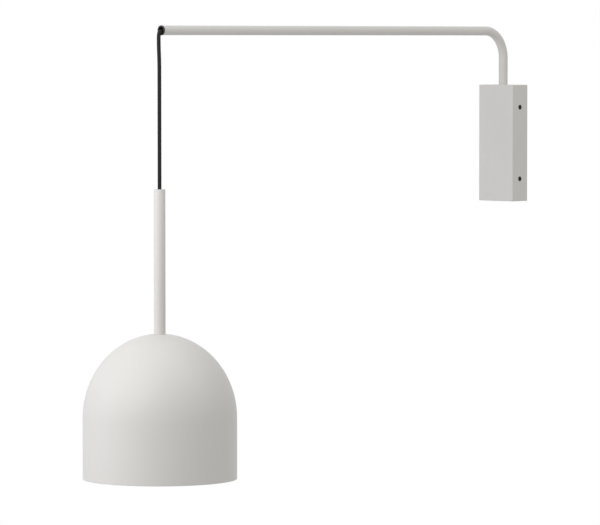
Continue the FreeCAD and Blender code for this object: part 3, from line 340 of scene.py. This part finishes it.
MATERIALS = {
    "painted_metal": powder_coat(),
    "zinc_plate": zinc_plate(),
    "black_screw": black_oxide(),
    "turned_steel": turned_steel(),
    "bush_bronze": bush_bronze(),
    "nylon": moulded("nylon", (0.80, 0.79, 0.74)),
    "spring_steel": spring_steel(),
    "black_rubber": black_rubber(),
    "cord_braid": cord_braid(),
    "holder_plastic": moulded("holder_plastic", (0.76, 0.75, 0.72), 0.36),
    "ceramic": ceramic(),
    "brass": brass(),
    "core_sleeve": moulded("core_sleeve", (0.70, 0.66, 0.58), 0.4),
    "bulb_insulation": moulded("bulb_insulation", (0.025, 0.025, 0.03), 0.2),
    "bulb_cap_metal": nickel_plate(),
    "bulb_collar": moulded("bulb_collar", (0.84, 0.84, 0.83), 0.4),
    "opal_globe": opal_glass(),
    "led_board": led_board(),
    "block_plastic": moulded("block_plastic", (0.80, 0.82, 0.84), 0.3),
    "tinned_copper": tinned_copper(),
    "live_sleeve": moulded("live_sleeve", (0.20, 0.08, 0.03), 0.38),
    "neutral_sleeve": moulded("neutral_sleeve", (0.03, 0.12, 0.42), 0.38),
    "earth_sleeve": moulded("earth_sleeve", (0.16, 0.42, 0.05), 0.38),
}


def dress_cad_nodes():
    """Every CAD node takes the finish of its own slot in the record."""
    for entry in frame["record"]["subparts"]:
        node = frame["nodes"][entry["node"]]
        node.data.materials.clear()
        node.data.materials.append(MATERIALS[entry["material_slot"]])


# ---------------------------------------------------------------- making pieces


def new_piece(name, bm, slot, sharp=40):
    """Turn a bmesh into a piece with its slot's material; edges over sharp degrees stay crisp."""
    bmesh.ops.recalc_face_normals(bm, faces=bm.faces)
    mesh = bpy.data.meshes.new(name)
    bm.to_mesh(mesh)
    bm.free()
    mesh.shade_smooth()
    mesh.set_sharp_from_angle(angle=math.radians(sharp))
    mesh.materials.append(MATERIALS[slot])
    piece = bpy.data.objects.new(name, mesh)
    bpy.context.scene.collection.objects.link(piece)
    return piece


def stands_for(piece, body, *nodes):
    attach(piece, body)
    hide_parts(*nodes)
    return piece


def profile(bm, points):
    """Join points, given as radius and height, by edges in the XZ plane."""
    verts = [bm.verts.new((radius, 0, height)) for radius, height in points]
    edges = [bm.edges.new(pair) for pair in zip(verts, verts[1:])]
    return verts, edges


def spin_round(bm, geometry, centre_x, steps):
    """Turn a profile that stands at X 0 about its own Z axis and put it at centre_x."""
    bmesh.ops.spin(bm, geom=geometry, cent=(0, 0, 0), axis=(0, 0, 1), dvec=(0, 0, 0),
                   angle=math.tau, steps=steps, use_merge=True)
    bmesh.ops.remove_doubles(bm, verts=bm.verts, dist=1e-7)
    bmesh.ops.translate(bm, verts=bm.verts, vec=(centre_x, 0, 0))


def turned_piece(name, points, centre_x, slot, steps=96, sharp=40):
    bm = bmesh.new()
    verts, edges = profile(bm, points)
    if points[0][0] or points[-1][0]:
        edges.append(bm.edges.new((verts[-1], verts[0])))
    spin_round(bm, verts + edges, centre_x, steps)
    return new_piece(name, bm, slot, sharp)


def rounded(corner, before, after, radius, steps=3):
    """Points of a small round in place of a profile's corner."""
    corner, before, after = Vector(corner), Vector(before), Vector(after)
    start = corner + (before - corner).normalized() * radius
    end = corner + (after - corner).normalized() * radius
    return [tuple(start.lerp(corner, share).lerp(corner.lerp(end, share), share))
            for share in (step / steps for step in range(steps + 1))]


def round_profile(points, radii):
    """Round the corners of a closed profile whose radius in radii isn't zero."""
    result = []
    for index, (corner, radius) in enumerate(zip(points, radii)):
        if radius:
            result += rounded(corner, points[index - 1], points[(index + 1) % len(points)], radius)
        else:
            result.append(corner)
    return result


HOLE_STEPS = 48


def circle_in_face(bm, centre, normal, radius, reach=1.6):
    """Open a round hole in the flat face round a centre and give its ring of edges.

    A square, reach times as wide, is cut free about the centre, and the flat between it and a circle is
    filled again. Two holes in line need squares of different widths, so that their cuts don't meet.
    """
    centre, normal = Vector(centre), Vector(normal)
    axes = [axis for axis in (Vector((1, 0, 0)), Vector((0, 1, 0)), Vector((0, 0, 1)))
            if abs(axis.dot(normal)) < 0.5]
    for axis in axes:
        for side in (-1, 1):
            face = face_round(bm, centre, normal)
            bmesh.ops.bisect_plane(bm, geom=[face, *face.edges, *face.verts],
                                   plane_co=centre + axis * radius * reach * side, plane_no=axis)
    square = face_round(bm, centre, normal)
    outline = list(square.edges)
    bmesh.ops.delete(bm, geom=[square], context="FACES_ONLY")
    turn = normal.to_track_quat("Z", "Y").to_matrix().to_4x4()
    circle = bmesh.ops.create_circle(bm, segments=HOLE_STEPS, radius=radius,
                                     matrix=Matrix.Translation(centre) @ turn)["verts"]
    ring = ring_of(circle)
    bmesh.ops.triangle_fill(bm, use_beauty=True, edges=outline + ring, normal=normal)
    return ring


def face_round(bm, centre, normal):
    """The face in the plane through a centre that reaches past it on every side."""
    for face in bm.faces:
        if abs((face.verts[0].co - centre).dot(normal)) > 1e-6 or abs(face.normal.dot(normal)) < 0.99:
            continue
        spans = [sorted(vert.co[axis] for vert in face.verts) for axis in range(3)]
        if all(span[0] - 1e-6 < place < span[-1] + 1e-6 for span, place in zip(spans, centre)):
            return face
    raise ValueError("no flat face at the hole")


def ring_of(verts):
    verts = set(verts)
    return [edge for edge in {edge for vert in verts for edge in vert.link_edges}
            if set(edge.verts) <= verts]


def grow(bm, edges, scale=None, about=None, shift=(0, 0, 0)):
    """Extrude a ring of edges, scale the new ring about a point and shift it; gives the new ring."""
    grown = bmesh.ops.extrude_edge_only(bm, edges=edges)["geom"]
    verts = [item for item in grown if isinstance(item, bmesh.types.BMVert)]
    if scale:
        bmesh.ops.scale(bm, verts=verts, vec=scale, space=Matrix.Translation(-Vector(about)))
    bmesh.ops.translate(bm, verts=verts, vec=shift)
    return ring_of(verts)


# ---------------------------------------------------------------- wall box


def make_wall_box():
    """Folded cover, open at the back, with soft edges, a hole for the arm and countersunk sides."""
    size = BOX_HIGH - BOX_LOW
    middle = (BOX_HIGH + BOX_LOW) / 2
    bm = bmesh.new()
    bmesh.ops.create_cube(bm, size=1, matrix=Matrix.Translation(middle) @ Matrix.Diagonal((*size, 1)))
    back = [face for face in bm.faces if face.normal.x < -0.5]
    bmesh.ops.delete(bm, geom=back, context="FACES_ONLY")
    bmesh.ops.recalc_face_normals(bm, faces=bm.faces)
    bmesh.ops.solidify(bm, geom=bm.faces, thickness=BOX_WALL)
    corners = [edge for edge in bm.edges if outside_corner(edge)]
    bmesh.ops.bevel(bm, geom=corners, offset=BOX_EDGE, affect="EDGES", segments=5, profile=0.5,
                    material=-1)
    large = [face for face in bm.faces if face.calc_area() > 400 * MM * MM]
    bmesh.ops.inset_individual(bm, faces=large, thickness=0.5 * MM)

    top = BOX_HIGH.z
    outer = circle_in_face(bm, (PIVOT_X, 0, top), (0, 0, 1), ARM_HOLE_RADIUS + HOLE_CHAMFER)
    inner = circle_in_face(bm, (PIVOT_X, 0, top - BOX_WALL), (0, 0, 1), ARM_HOLE_RADIUS)
    share = ARM_HOLE_RADIUS / (ARM_HOLE_RADIUS + HOLE_CHAMFER)
    outer = grow(bm, outer, (share, share, 1), (PIVOT_X, 0, top), (0, 0, -HOLE_CHAMFER))
    bmesh.ops.bridge_loops(bm, edges=outer + inner)

    share = SCREW_BORE / (SCREW_BORE + SCREW_SINK)
    for side in (-1, 1):
        face = BOX_HIGH.y * side
        for level, reach in ((-SCREW_LEVEL, 1.6), (SCREW_LEVEL, 1.8)):
            outside, inside = (PIVOT_X, face, level), (PIVOT_X, face - BOX_WALL * side, level)
            outer = circle_in_face(bm, outside, (0, side, 0), SCREW_BORE + SCREW_SINK, reach)
            inner = circle_in_face(bm, inside, (0, side, 0), SCREW_BORE, reach)
            outer = grow(bm, outer, (share, 1, share), outside, (0, -SCREW_SINK * side, 0))
            bmesh.ops.bridge_loops(bm, edges=outer + inner)
    bmesh.ops.dissolve_degenerate(bm, edges=bm.edges, dist=1e-6)
    stands_for(new_piece("wall_box_cover", bm, "painted_metal", 30), "wall_box", "box_body")


def outside_corner(edge):
    """True for the edges where two of the box's outside faces meet."""
    shared = 0
    faces = ((0, (BOX_HIGH.x,)), (1, (BOX_LOW.y, BOX_HIGH.y)), (2, (BOX_LOW.z, BOX_HIGH.z)))
    for axis, limits in faces:
        shared += any(all(abs(vert.co[axis] - limit) < 1e-6 for vert in edge.verts)
                      for limit in limits)
    return shared == 2


def make_side_screws():
    """Black countersunk screws with a hexagon socket, two on each side."""
    for node, side in (("side_screws_left", -1), ("side_screws_right", 1)):
        bm = bmesh.new()
        for level in (-SCREW_LEVEL, SCREW_LEVEL):
            add_countersunk_screw(bm, Matrix.Translation((PIVOT_X, BOX_HIGH.y * side, level))
                                  @ Matrix.Rotation(math.radians(-90 * side), 4, "X"))
        piece = new_piece(node + "_socket_heads", bm, "black_screw", 35)
        stands_for(piece, "wall_box", node)


def add_countersunk_screw(bm, place):
    """Hexagon socket, dished face, cone and shank; the face is at the place and looks along its Z."""
    flat_radius = SCREW_HEAD_RADIUS - 0.14 * MM
    made = bmesh.ops.create_circle(bm, cap_ends=True, segments=6, radius=SOCKET_RADIUS,
                                   matrix=Matrix.Translation((0, 0, -SOCKET_DEPTH)))["verts"]
    about = (0, 0, 0)
    ring = grow(bm, ring_of(made), shift=(0, 0, SOCKET_DEPTH - 0.08 * MM))
    ring = grow(bm, ring, (1.08, 1.08, 1), about, (0, 0, 0.04 * MM))
    face = bmesh.ops.create_circle(bm, segments=HOLE_STEPS, radius=flat_radius)["verts"]
    outside = ring_of(face)
    bmesh.ops.subdivide_edges(bm, edges=ring, cuts=HOLE_STEPS // 6 - 1)
    inside = [edge for edge in bm.edges if edge.is_boundary and edge not in outside]
    bmesh.ops.bridge_loops(bm, edges=inside + outside)
    radius = flat_radius
    ring = outside
    for wanted, drop in ((SCREW_HEAD_RADIUS, 0.1 * MM), (SHANK_RADIUS, SCREW_SINK - 0.1 * MM),
                         (SHANK_RADIUS, 6.2 * MM), (SHANK_RADIUS - 0.3 * MM, 0.4 * MM)):
        ring = grow(bm, ring, (wanted / radius, wanted / radius, 1), about, (0, 0, -drop))
        radius = wanted
    bmesh.ops.contextual_create(bm, geom=ring)
    fresh = {vert for vert in bm.verts if not vert.tag}
    bmesh.ops.transform(bm, matrix=place, verts=list(fresh))
    for vert in fresh:
        vert.tag = True


# ---------------------------------------------------------------- arm


def make_arm():
    """One bent tube: a ring of edges goes up, round the bend and out, and gets its wall last."""
    bm = bmesh.new()
    foot = bmesh.ops.create_circle(bm, segments=64, radius=ARM_RADIUS,
                                   matrix=Matrix.Translation((PIVOT_X, 0, ARM_LOW.z)))["verts"]
    ring = grow(bm, ring_of(foot), shift=(0, 0, ARM_LEVEL - BEND_RADIUS - ARM_LOW.z))
    bend = bmesh.ops.spin(bm, geom=ring, cent=(PIVOT_X + BEND_RADIUS, 0, ARM_LEVEL - BEND_RADIUS),
                          axis=(0, 1, 0), dvec=(0, 0, 0), angle=math.pi / 2, steps=32, use_merge=False)
    ring = [item for item in bend["geom_last"] if isinstance(item, bmesh.types.BMEdge)]
    grow(bm, ring, shift=(ARM_HIGH.x - PIVOT_X - BEND_RADIUS, 0, 0))
    bmesh.ops.remove_doubles(bm, verts=bm.verts, dist=1e-7)
    bmesh.ops.recalc_face_normals(bm, faces=bm.faces)
    bmesh.ops.solidify(bm, geom=bm.faces, thickness=ARM_WALL)
    stands_for(new_piece("swivel_arm", bm, "painted_metal", 40), "arm", "arm_tube")


def make_grommet():
    """Black rubber bush with a rounded lip, pushed into the tube's end."""
    flange = GROMMET_HIGH.y
    spigot = ARM_RADIUS - ARM_WALL
    front = GROMMET_HIGH.x - ARM_HIGH.x
    back = GROMMET_LOW.x - ARM_HIGH.x
    corners = [(GROMMET_BORE, back), (spigot, back), (spigot, 0), (flange, 0), (flange, front),
               (GROMMET_BORE, front)]
    radii = (0.1 * MM, 0.15 * MM, 0, 0.15 * MM, 0.42 * MM, 0.45 * MM)
    piece = turned_piece("grommet_ring", round_profile(corners, radii), 0, "black_rubber", 72)
    piece.data.transform(Matrix.Translation((ARM_HIGH.x, 0, ARM_LEVEL))
                         @ Matrix.Rotation(math.pi / 2, 4, "Y"))
    stands_for(piece, "arm", "tip_grommet")


# ---------------------------------------------------------------- cord

CORD_ROUTE = [(0.5355, 0.1238), (0.5485, 0.1238), (0.5536, 0.1238), (0.5536, 0.1098),
              (0.5527, 0.0918), (0.5527, 0.0738), (0.5527, -0.0390)]


def cord_line():
    """Points read from the smooth line through the cord's route."""
    curve = bpy.data.curves.new("cord_line", "CURVE")
    curve.dimensions = "3D"
    curve.resolution_u = 48
    spline = curve.splines.new("NURBS")
    spline.points.add(len(CORD_ROUTE) - 1)
    for point, (x, z) in zip(spline.points, CORD_ROUTE):
        point.co = (x, 0, z, 1)
    spline.order_u = 3
    spline.use_endpoint_u = True
    holder = bpy.data.objects.new("cord_line", curve)
    bpy.context.scene.collection.objects.link(holder)
    bpy.context.view_layer.update()
    depsgraph = bpy.context.evaluated_depsgraph_get()
    mesh = bpy.data.meshes.new_from_object(holder.evaluated_get(depsgraph))
    points = [vert.co.copy() for vert in mesh.vertices]
    bpy.data.objects.remove(holder)
    return points


def evenly_spaced(points, count):
    """The same line in equal steps."""
    lengths = [0.0]
    for before, after in zip(points, points[1:]):
        lengths.append(lengths[-1] + (after - before).length)
    result = []
    index = 0
    for step in range(count):
        target = lengths[-1] * step / (count - 1)
        while index < len(points) - 2 and lengths[index + 1] < target:
            index += 1
        share = (target - lengths[index]) / (lengths[index + 1] - lengths[index])
        result.append(points[index].lerp(points[index + 1], min(max(share, 0), 1)))
    return result, lengths[-1]


def braid(turn, along):
    """Height of a plain braid, 0 to 1, and the place across its top strand, 0 to 1.

    Turn is a share of a turn, along a distance along the cord. Strands of one hand are at whole steps
    of first, those of the other hand at whole steps of second.
    """
    first = BRAID_STRANDS * (turn + along / BRAID_PITCH)
    second = BRAID_STRANDS * (turn - along / BRAID_PITCH)
    over, under = (first, second) if (math.floor(first) + math.floor(second)) % 2 else (second, first)
    crown = math.sin(math.pi * (over % 1))
    rise = math.sin(math.pi * (under % 1))
    return math.sqrt(crown) * (0.35 + 0.65 * rise), over % 1


def make_cord():
    """Braided cord: a sheet of quads is rolled round the line, and the braid lifts its surface."""
    sides, rings = BRAID_STRANDS * 9, 1250
    relief = 0.16 * MM
    crown_radius = CORD_RADIUS + 0.06 * MM
    line, length = evenly_spaced(cord_line(), rings)
    sideways = Vector((0, 1, 0))
    bm = bmesh.new()
    carried_height = bm.verts.layers.float.new("height")
    carried_across = bm.verts.layers.float.new("across")
    bmesh.ops.create_grid(bm, x_segments=rings - 1, y_segments=sides, size=0.5)
    for vert in bm.verts:
        share, turn = vert.co.x + 0.5, vert.co.y + 0.5
        index = round(share * (rings - 1))
        ahead = line[min(index + 1, rings - 1)] - line[max(index - 1, 0)]
        outward = sideways.cross(ahead).normalized()
        angle = turn * math.tau
        vert[carried_height], vert[carried_across] = braid(turn, length * share)
        radius = crown_radius - relief * (1 - vert[carried_height])
        vert.co = line[index] + (outward * math.cos(angle) + sideways * math.sin(angle)) * radius
    bmesh.ops.remove_doubles(bm, verts=bm.verts, dist=1e-6)
    bmesh.ops.holes_fill(bm, edges=[edge for edge in bm.edges if edge.is_boundary], sides=0)
    piece = new_piece("braided_cord", bm, "cord_braid", 75)
    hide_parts("cord_exit", "pendant_cord")
    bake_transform(piece)


# ---------------------------------------------------------------- stem and shade


def make_stem():
    """Slim tube with softened ends; the plug in its top leaves a shallow rim."""
    top = STEM_HIGH.z
    foot = STEM_LOW.z
    seat = foot + STEM_SEAT
    corners = [(STEM_TAPPED, foot), (STEM_RADIUS, foot), (STEM_RADIUS, top), (STEM_BORE, top),
               (STEM_BORE, seat), (STEM_TAPPED, seat)]
    radii = (0, 0.2 * MM, 0.45 * MM, 0.3 * MM, 0, 0)
    tube = turned_piece("stem", round_profile(corners, radii), HANG_X, "painted_metal", 96)
    stands_for(tube, "pendant", "stem_tube")


def make_shade():
    """Spun bell: a quarter turn stretched to an ellipse, a straight skirt, then the sheet's thickness."""
    squeeze = math.sqrt(1 - (SHADE_LAND / SHADE_RADIUS) ** 2)
    widest = SHADE_HIGH.z - SHADE_DOME * squeeze
    land_angle = math.acos(SHADE_LAND / SHADE_RADIUS)
    bm = bmesh.new()
    start = bm.verts.new((SHADE_RADIUS, 0, 0))
    bmesh.ops.spin(bm, geom=[start], cent=(0, 0, 0), axis=(0, -1, 0), dvec=(0, 0, 0),
                   angle=land_angle, steps=48, use_merge=False)
    bmesh.ops.scale(bm, verts=bm.verts, vec=(1, 1, SHADE_DOME / SHADE_RADIUS))
    bmesh.ops.translate(bm, verts=bm.verts, vec=(0, 0, widest))
    top = max(bm.verts, key=lambda vert: vert.co.z)
    hole = bm.verts.new((SHADE_HOLE, 0, top.co.z))
    bm.edges.new((top, hole))
    low = start
    for height in (widest - 20 * MM, widest - 40 * MM, SHADE_LOW.z + 1 * MM, SHADE_LOW.z):
        below = bm.verts.new((SHADE_RADIUS, 0, height))
        bm.edges.new((low, below))
        low = below
    spin_round(bm, bm.verts[:] + bm.edges[:], HANG_X, 192)
    bmesh.ops.recalc_face_normals(bm, faces=bm.faces)
    bmesh.ops.solidify(bm, geom=bm.faces, thickness=SHADE_WALL)
    rim = [edge for edge in bm.edges
           if all(abs(vert.co.z - SHADE_LOW.z) < 0.01 * MM for vert in edge.verts)
           and abs(edge.calc_face_angle(0)) > math.radians(60)]
    bmesh.ops.bevel(bm, geom=rim, offset=0.3 * MM, affect="EDGES", segments=3, profile=0.5, material=-1)
    stands_for(new_piece("bell_shade", bm, "painted_metal", 40), "pendant", "shade")


# ---------------------------------------------------------------- lampholder and bulb


def make_lampholder_skirt():
    """Skirt with soft edges, a fine groove where it meets the cap and grip rings low down."""
    foot, top = HOLDER_LOW.z, HOLDER_HIGH.z
    outer = (HOLDER_HIGH.x - HOLDER_LOW.x) / 2
    inner = outer - HOLDER_WALL
    seat = top - HOLDER_SPIGOT
    spigot = inner - SEAT_GAP
    corners = [(HOLDER_MOUTH, foot), (outer, foot)]
    radii = [0.5 * MM, 0.8 * MM]
    for ring in range(GRIP_RINGS):
        level = foot + GRIP_LEVEL + GRIP_PITCH * ring
        corners += [(outer, level), (outer - GRIP_DEPTH, level + GRIP_DEPTH),
                    (outer - GRIP_DEPTH, level + 2 * GRIP_DEPTH), (outer, level + 3 * GRIP_DEPTH)]
        radii += [0.1 * MM] * 4
    corners += [(outer, seat), (spigot, seat), (spigot, top), (spigot - HOLDER_WALL, top),
                (spigot - HOLDER_WALL, seat - HOLDER_WALL), (inner, seat - HOLDER_WALL),
                (inner, foot + HOLDER_LIP), (HOLDER_MOUTH, foot + HOLDER_LIP)]
    radii += [0.3 * MM, 0, 0.3 * MM, 0, 0, 0, 0, 0]
    skirt = turned_piece("lampholder_skirt", round_profile(corners, radii), HANG_X, "holder_plastic", 96)
    stands_for(skirt, "pendant", "holder_body")


def make_globe():
    """Blown opal globe, open at its neck: an arc from pole to mouth is turned and given its wall."""
    radius = (GLOBE_HIGH.x - GLOBE_LOW.x) / 2
    centre = GLOBE_LOW.z + radius
    neck_angle = math.pi / 2 + math.asin((GLOBE_HIGH.z - centre) / radius)
    bm = bmesh.new()
    pole = bm.verts.new((0, 0, -radius))
    bmesh.ops.spin(bm, geom=[pole], cent=(0, 0, 0), axis=(0, -1, 0), dvec=(0, 0, 0),
                   angle=neck_angle, steps=48, use_merge=False)
    bmesh.ops.translate(bm, verts=bm.verts, vec=(0, 0, centre))
    spin_round(bm, bm.verts[:] + bm.edges[:], HANG_X, 96)
    bmesh.ops.recalc_face_normals(bm, faces=bm.faces)
    bmesh.ops.solidify(bm, geom=bm.faces, thickness=GLOBE_WALL)
    stands_for(new_piece("opal_bulb_globe", bm, "opal_globe", 50), "pendant", "bulb_globe")


def make_bulb_collar():
    """Flared collar between the bulb's cap and its globe."""
    top, foot = COLLAR_HIGH.z, COLLAR_LOW.z
    mouth = (COLLAR_HIGH.x - COLLAR_LOW.x) / 2
    corners = [(0, top), (COLLAR_NECK, top), (COLLAR_SHOULDER, top - (top - foot) / 3), (mouth, foot),
               (mouth - COLLAR_WALL, foot), (mouth - COLLAR_WALL, foot + COLLAR_WALL),
               (0, foot + COLLAR_WALL)]
    radii = [0, 0.4 * MM, 3.5 * MM, 0.2 * MM, 0, 0, 0]
    collar = turned_piece("bulb_neck_collar", round_profile(corners, radii), HANG_X, "bulb_collar", 96)
    stands_for(collar, "pendant", "bulb_collar")


# ---------------------------------------------------------------- studio

CAMERA_AZIMUTH = 133.6259
CAMERA_DOWN = 2.911
CAMERA_PLACE = (3.73655, 3.23508, 0.11602)
FOCAL_PIXELS = 4394.3
PICTURE_WIDTH = 600
FLOOR_RADIUS = 1.8
FLOOR_MIDDLE = (0.28, 0, -0.95)
FLOOR_GLOW = 0.4


def background_rays(nodes, links):
    """1 for the rays that show a background: the camera's, and those in metal and glass."""
    path = nodes.new("ShaderNodeLightPath")
    seen = path.outputs["Is Camera Ray"]
    for ray in ("Is Glossy Ray", "Is Transmission Ray"):
        either = nodes.new("ShaderNodeMath")
        either.operation = "MAXIMUM"
        links.new(seen, either.inputs[0])
        links.new(path.outputs[ray], either.inputs[1])
        seen = either.outputs["Value"]
    return seen


def brighten_and_fade(finish):
    """A floor that looks pale and loses itself in the white round it, and lights nothing."""
    nodes, links = finish.nodes, finish.links
    glow = nodes.new("ShaderNodeMath")
    glow.operation = "MULTIPLY"
    glow.inputs[1].default_value = FLOOR_GLOW
    links.new(background_rays(nodes, links), glow.inputs[0])
    finish.shader.inputs["Emission Color"].default_value = (1, 1, 1, 1)
    links.new(glow.outputs["Value"], finish.shader.inputs["Emission Strength"])
    reach = nodes.new("ShaderNodeVectorMath")
    reach.operation = "DISTANCE"
    reach.inputs[1].default_value = FLOOR_MIDDLE
    links.new(finish.place, reach.inputs[0])
    fade = nodes.new("ShaderNodeMapRange")
    fade.interpolation_type = "SMOOTHSTEP"
    fade.inputs["From Min"].default_value = FLOOR_RADIUS * 0.35
    fade.inputs["From Max"].default_value = FLOOR_RADIUS * 0.98
    links.new(reach.outputs["Value"], fade.inputs["Value"])
    clear = nodes.new("ShaderNodeBsdfTransparent")
    mix = nodes.new("ShaderNodeMixShader")
    links.new(fade.outputs["Result"], mix.inputs["Fac"])
    links.new(finish.shader.outputs["BSDF"], mix.inputs[1])
    links.new(clear.outputs["BSDF"], mix.inputs[2])
    links.new(mix.outputs["Shader"], nodes["Material Output"].inputs["Surface"])


def make_floor():
    """Pale floor under the lamp; it stays below the photograph's frame."""
    bm = bmesh.new()
    bmesh.ops.create_circle(bm, cap_ends=True, segments=96, radius=FLOOR_RADIUS,
                            matrix=Matrix.Translation(FLOOR_MIDDLE))
    mesh = bpy.data.meshes.new("floor")
    bm.to_mesh(mesh)
    bm.free()
    finish = Finish("floor_paint", (0.86, 0.86, 0.86), 0.8)
    finish.vary_colour(finish.noise(3, 2), (0.85, 0.85, 0.85), (0.87, 0.87, 0.87))
    brighten_and_fade(finish)
    mesh.materials.append(finish.material)
    floor = bpy.data.objects.new("floor", mesh)
    bpy.context.scene.collection.objects.link(floor)


def make_world(level):
    """Even light from all round; the camera and reflections see plain white."""
    world = bpy.data.worlds.new("studio")
    bpy.context.scene.world = world
    world.use_nodes = True
    nodes = world.node_tree.nodes
    links = world.node_tree.links
    around = nodes["Background"]
    around.inputs["Color"].default_value = (1, 1, 1, 1)
    around.inputs["Strength"].default_value = level
    white = nodes.new("ShaderNodeBackground")
    white.inputs["Color"].default_value = (1, 1, 1, 1)
    white.inputs["Strength"].default_value = 1
    mix = nodes.new("ShaderNodeMixShader")
    links.new(background_rays(nodes, links), mix.inputs["Fac"])
    links.new(around.outputs["Background"], mix.inputs[1])
    links.new(white.outputs["Background"], mix.inputs[2])
    links.new(mix.outputs["Shader"], nodes["World Output"].inputs["Surface"])


def make_softbox(name, aim, turn, rise, distance, size, power, colour):
    """Square light that faces aim; turn, to the camera's right, and rise are in degrees."""
    turn, rise = math.radians(turn), math.radians(rise)
    azimuth = math.radians(CAMERA_AZIMUTH)
    towards = Vector((math.sin(azimuth), -math.cos(azimuth), 0))
    right = Vector((math.cos(azimuth), math.sin(azimuth), 0))
    level = towards * math.cos(turn) + right * math.sin(turn)
    direction = level * math.cos(rise) + Vector((0, 0, math.sin(rise)))
    light = bpy.data.lights.new(name, "AREA")
    light.shape = "SQUARE"
    light.size = size
    light.energy = power
    light.color = colour
    lamp = bpy.data.objects.new(name, light)
    lamp.location = aim + direction * distance
    lamp.rotation_euler = direction.to_track_quat("Z", "Y").to_euler()
    bpy.context.scene.collection.objects.link(lamp)


def make_lights():
    """Soft light from the shade's side, a weak warm fill from the box's side, a little from above."""
    shade = Vector((HANG_X, 0, (SHADE_LOW.z + SHADE_HIGH.z) / 2))
    middle = Vector((0.3, 0, -0.1))
    make_softbox("key", shade, -35, 35, 0.9, 0.6, 3.3, (1.0, 0.97, 0.95))
    make_softbox("side_key", shade, -75, 15, 0.9, 0.6, 2.7, (0.95, 0.96, 1.0))
    make_softbox("fill", middle, 60, 50, 1.8, 0.9, 6.2, (1.0, 0.91, 0.75))
    make_softbox("top", middle, 0, 89, 1.8, 0.9, 5.0, (0.75, 0.84, 1.0))
    make_world(0.48)


def make_camera():
    """The photograph's view: a long lens, from in front and to the lamp's +Y side, looking slightly down."""
    azimuth = math.radians(CAMERA_AZIMUTH)
    down = math.radians(CAMERA_DOWN)
    back = Vector((math.sin(azimuth) * math.cos(down), -math.cos(azimuth) * math.cos(down),
                   math.sin(down)))
    camera = bpy.data.cameras.new("camera")
    camera.sensor_fit = "HORIZONTAL"
    camera.sensor_width = 36
    camera.lens = camera.sensor_width * FOCAL_PIXELS / PICTURE_WIDTH
    camera.clip_end = 50
    holder = bpy.data.objects.new("camera", camera)
    holder.location = CAMERA_PLACE
    holder.rotation_euler = back.to_track_quat("Z", "Y").to_euler()
    bpy.context.scene.collection.objects.link(holder)
    bpy.context.scene.camera = holder


bpy.context.scene.view_settings.view_transform = "Standard"
make_camera()
make_cord()
dress_cad_nodes()
make_wall_box()
make_side_screws()
make_arm()
make_grommet()
make_stem()
make_shade()
make_lampholder_skirt()
make_globe()
make_bulb_collar()
make_floor()
make_lights()
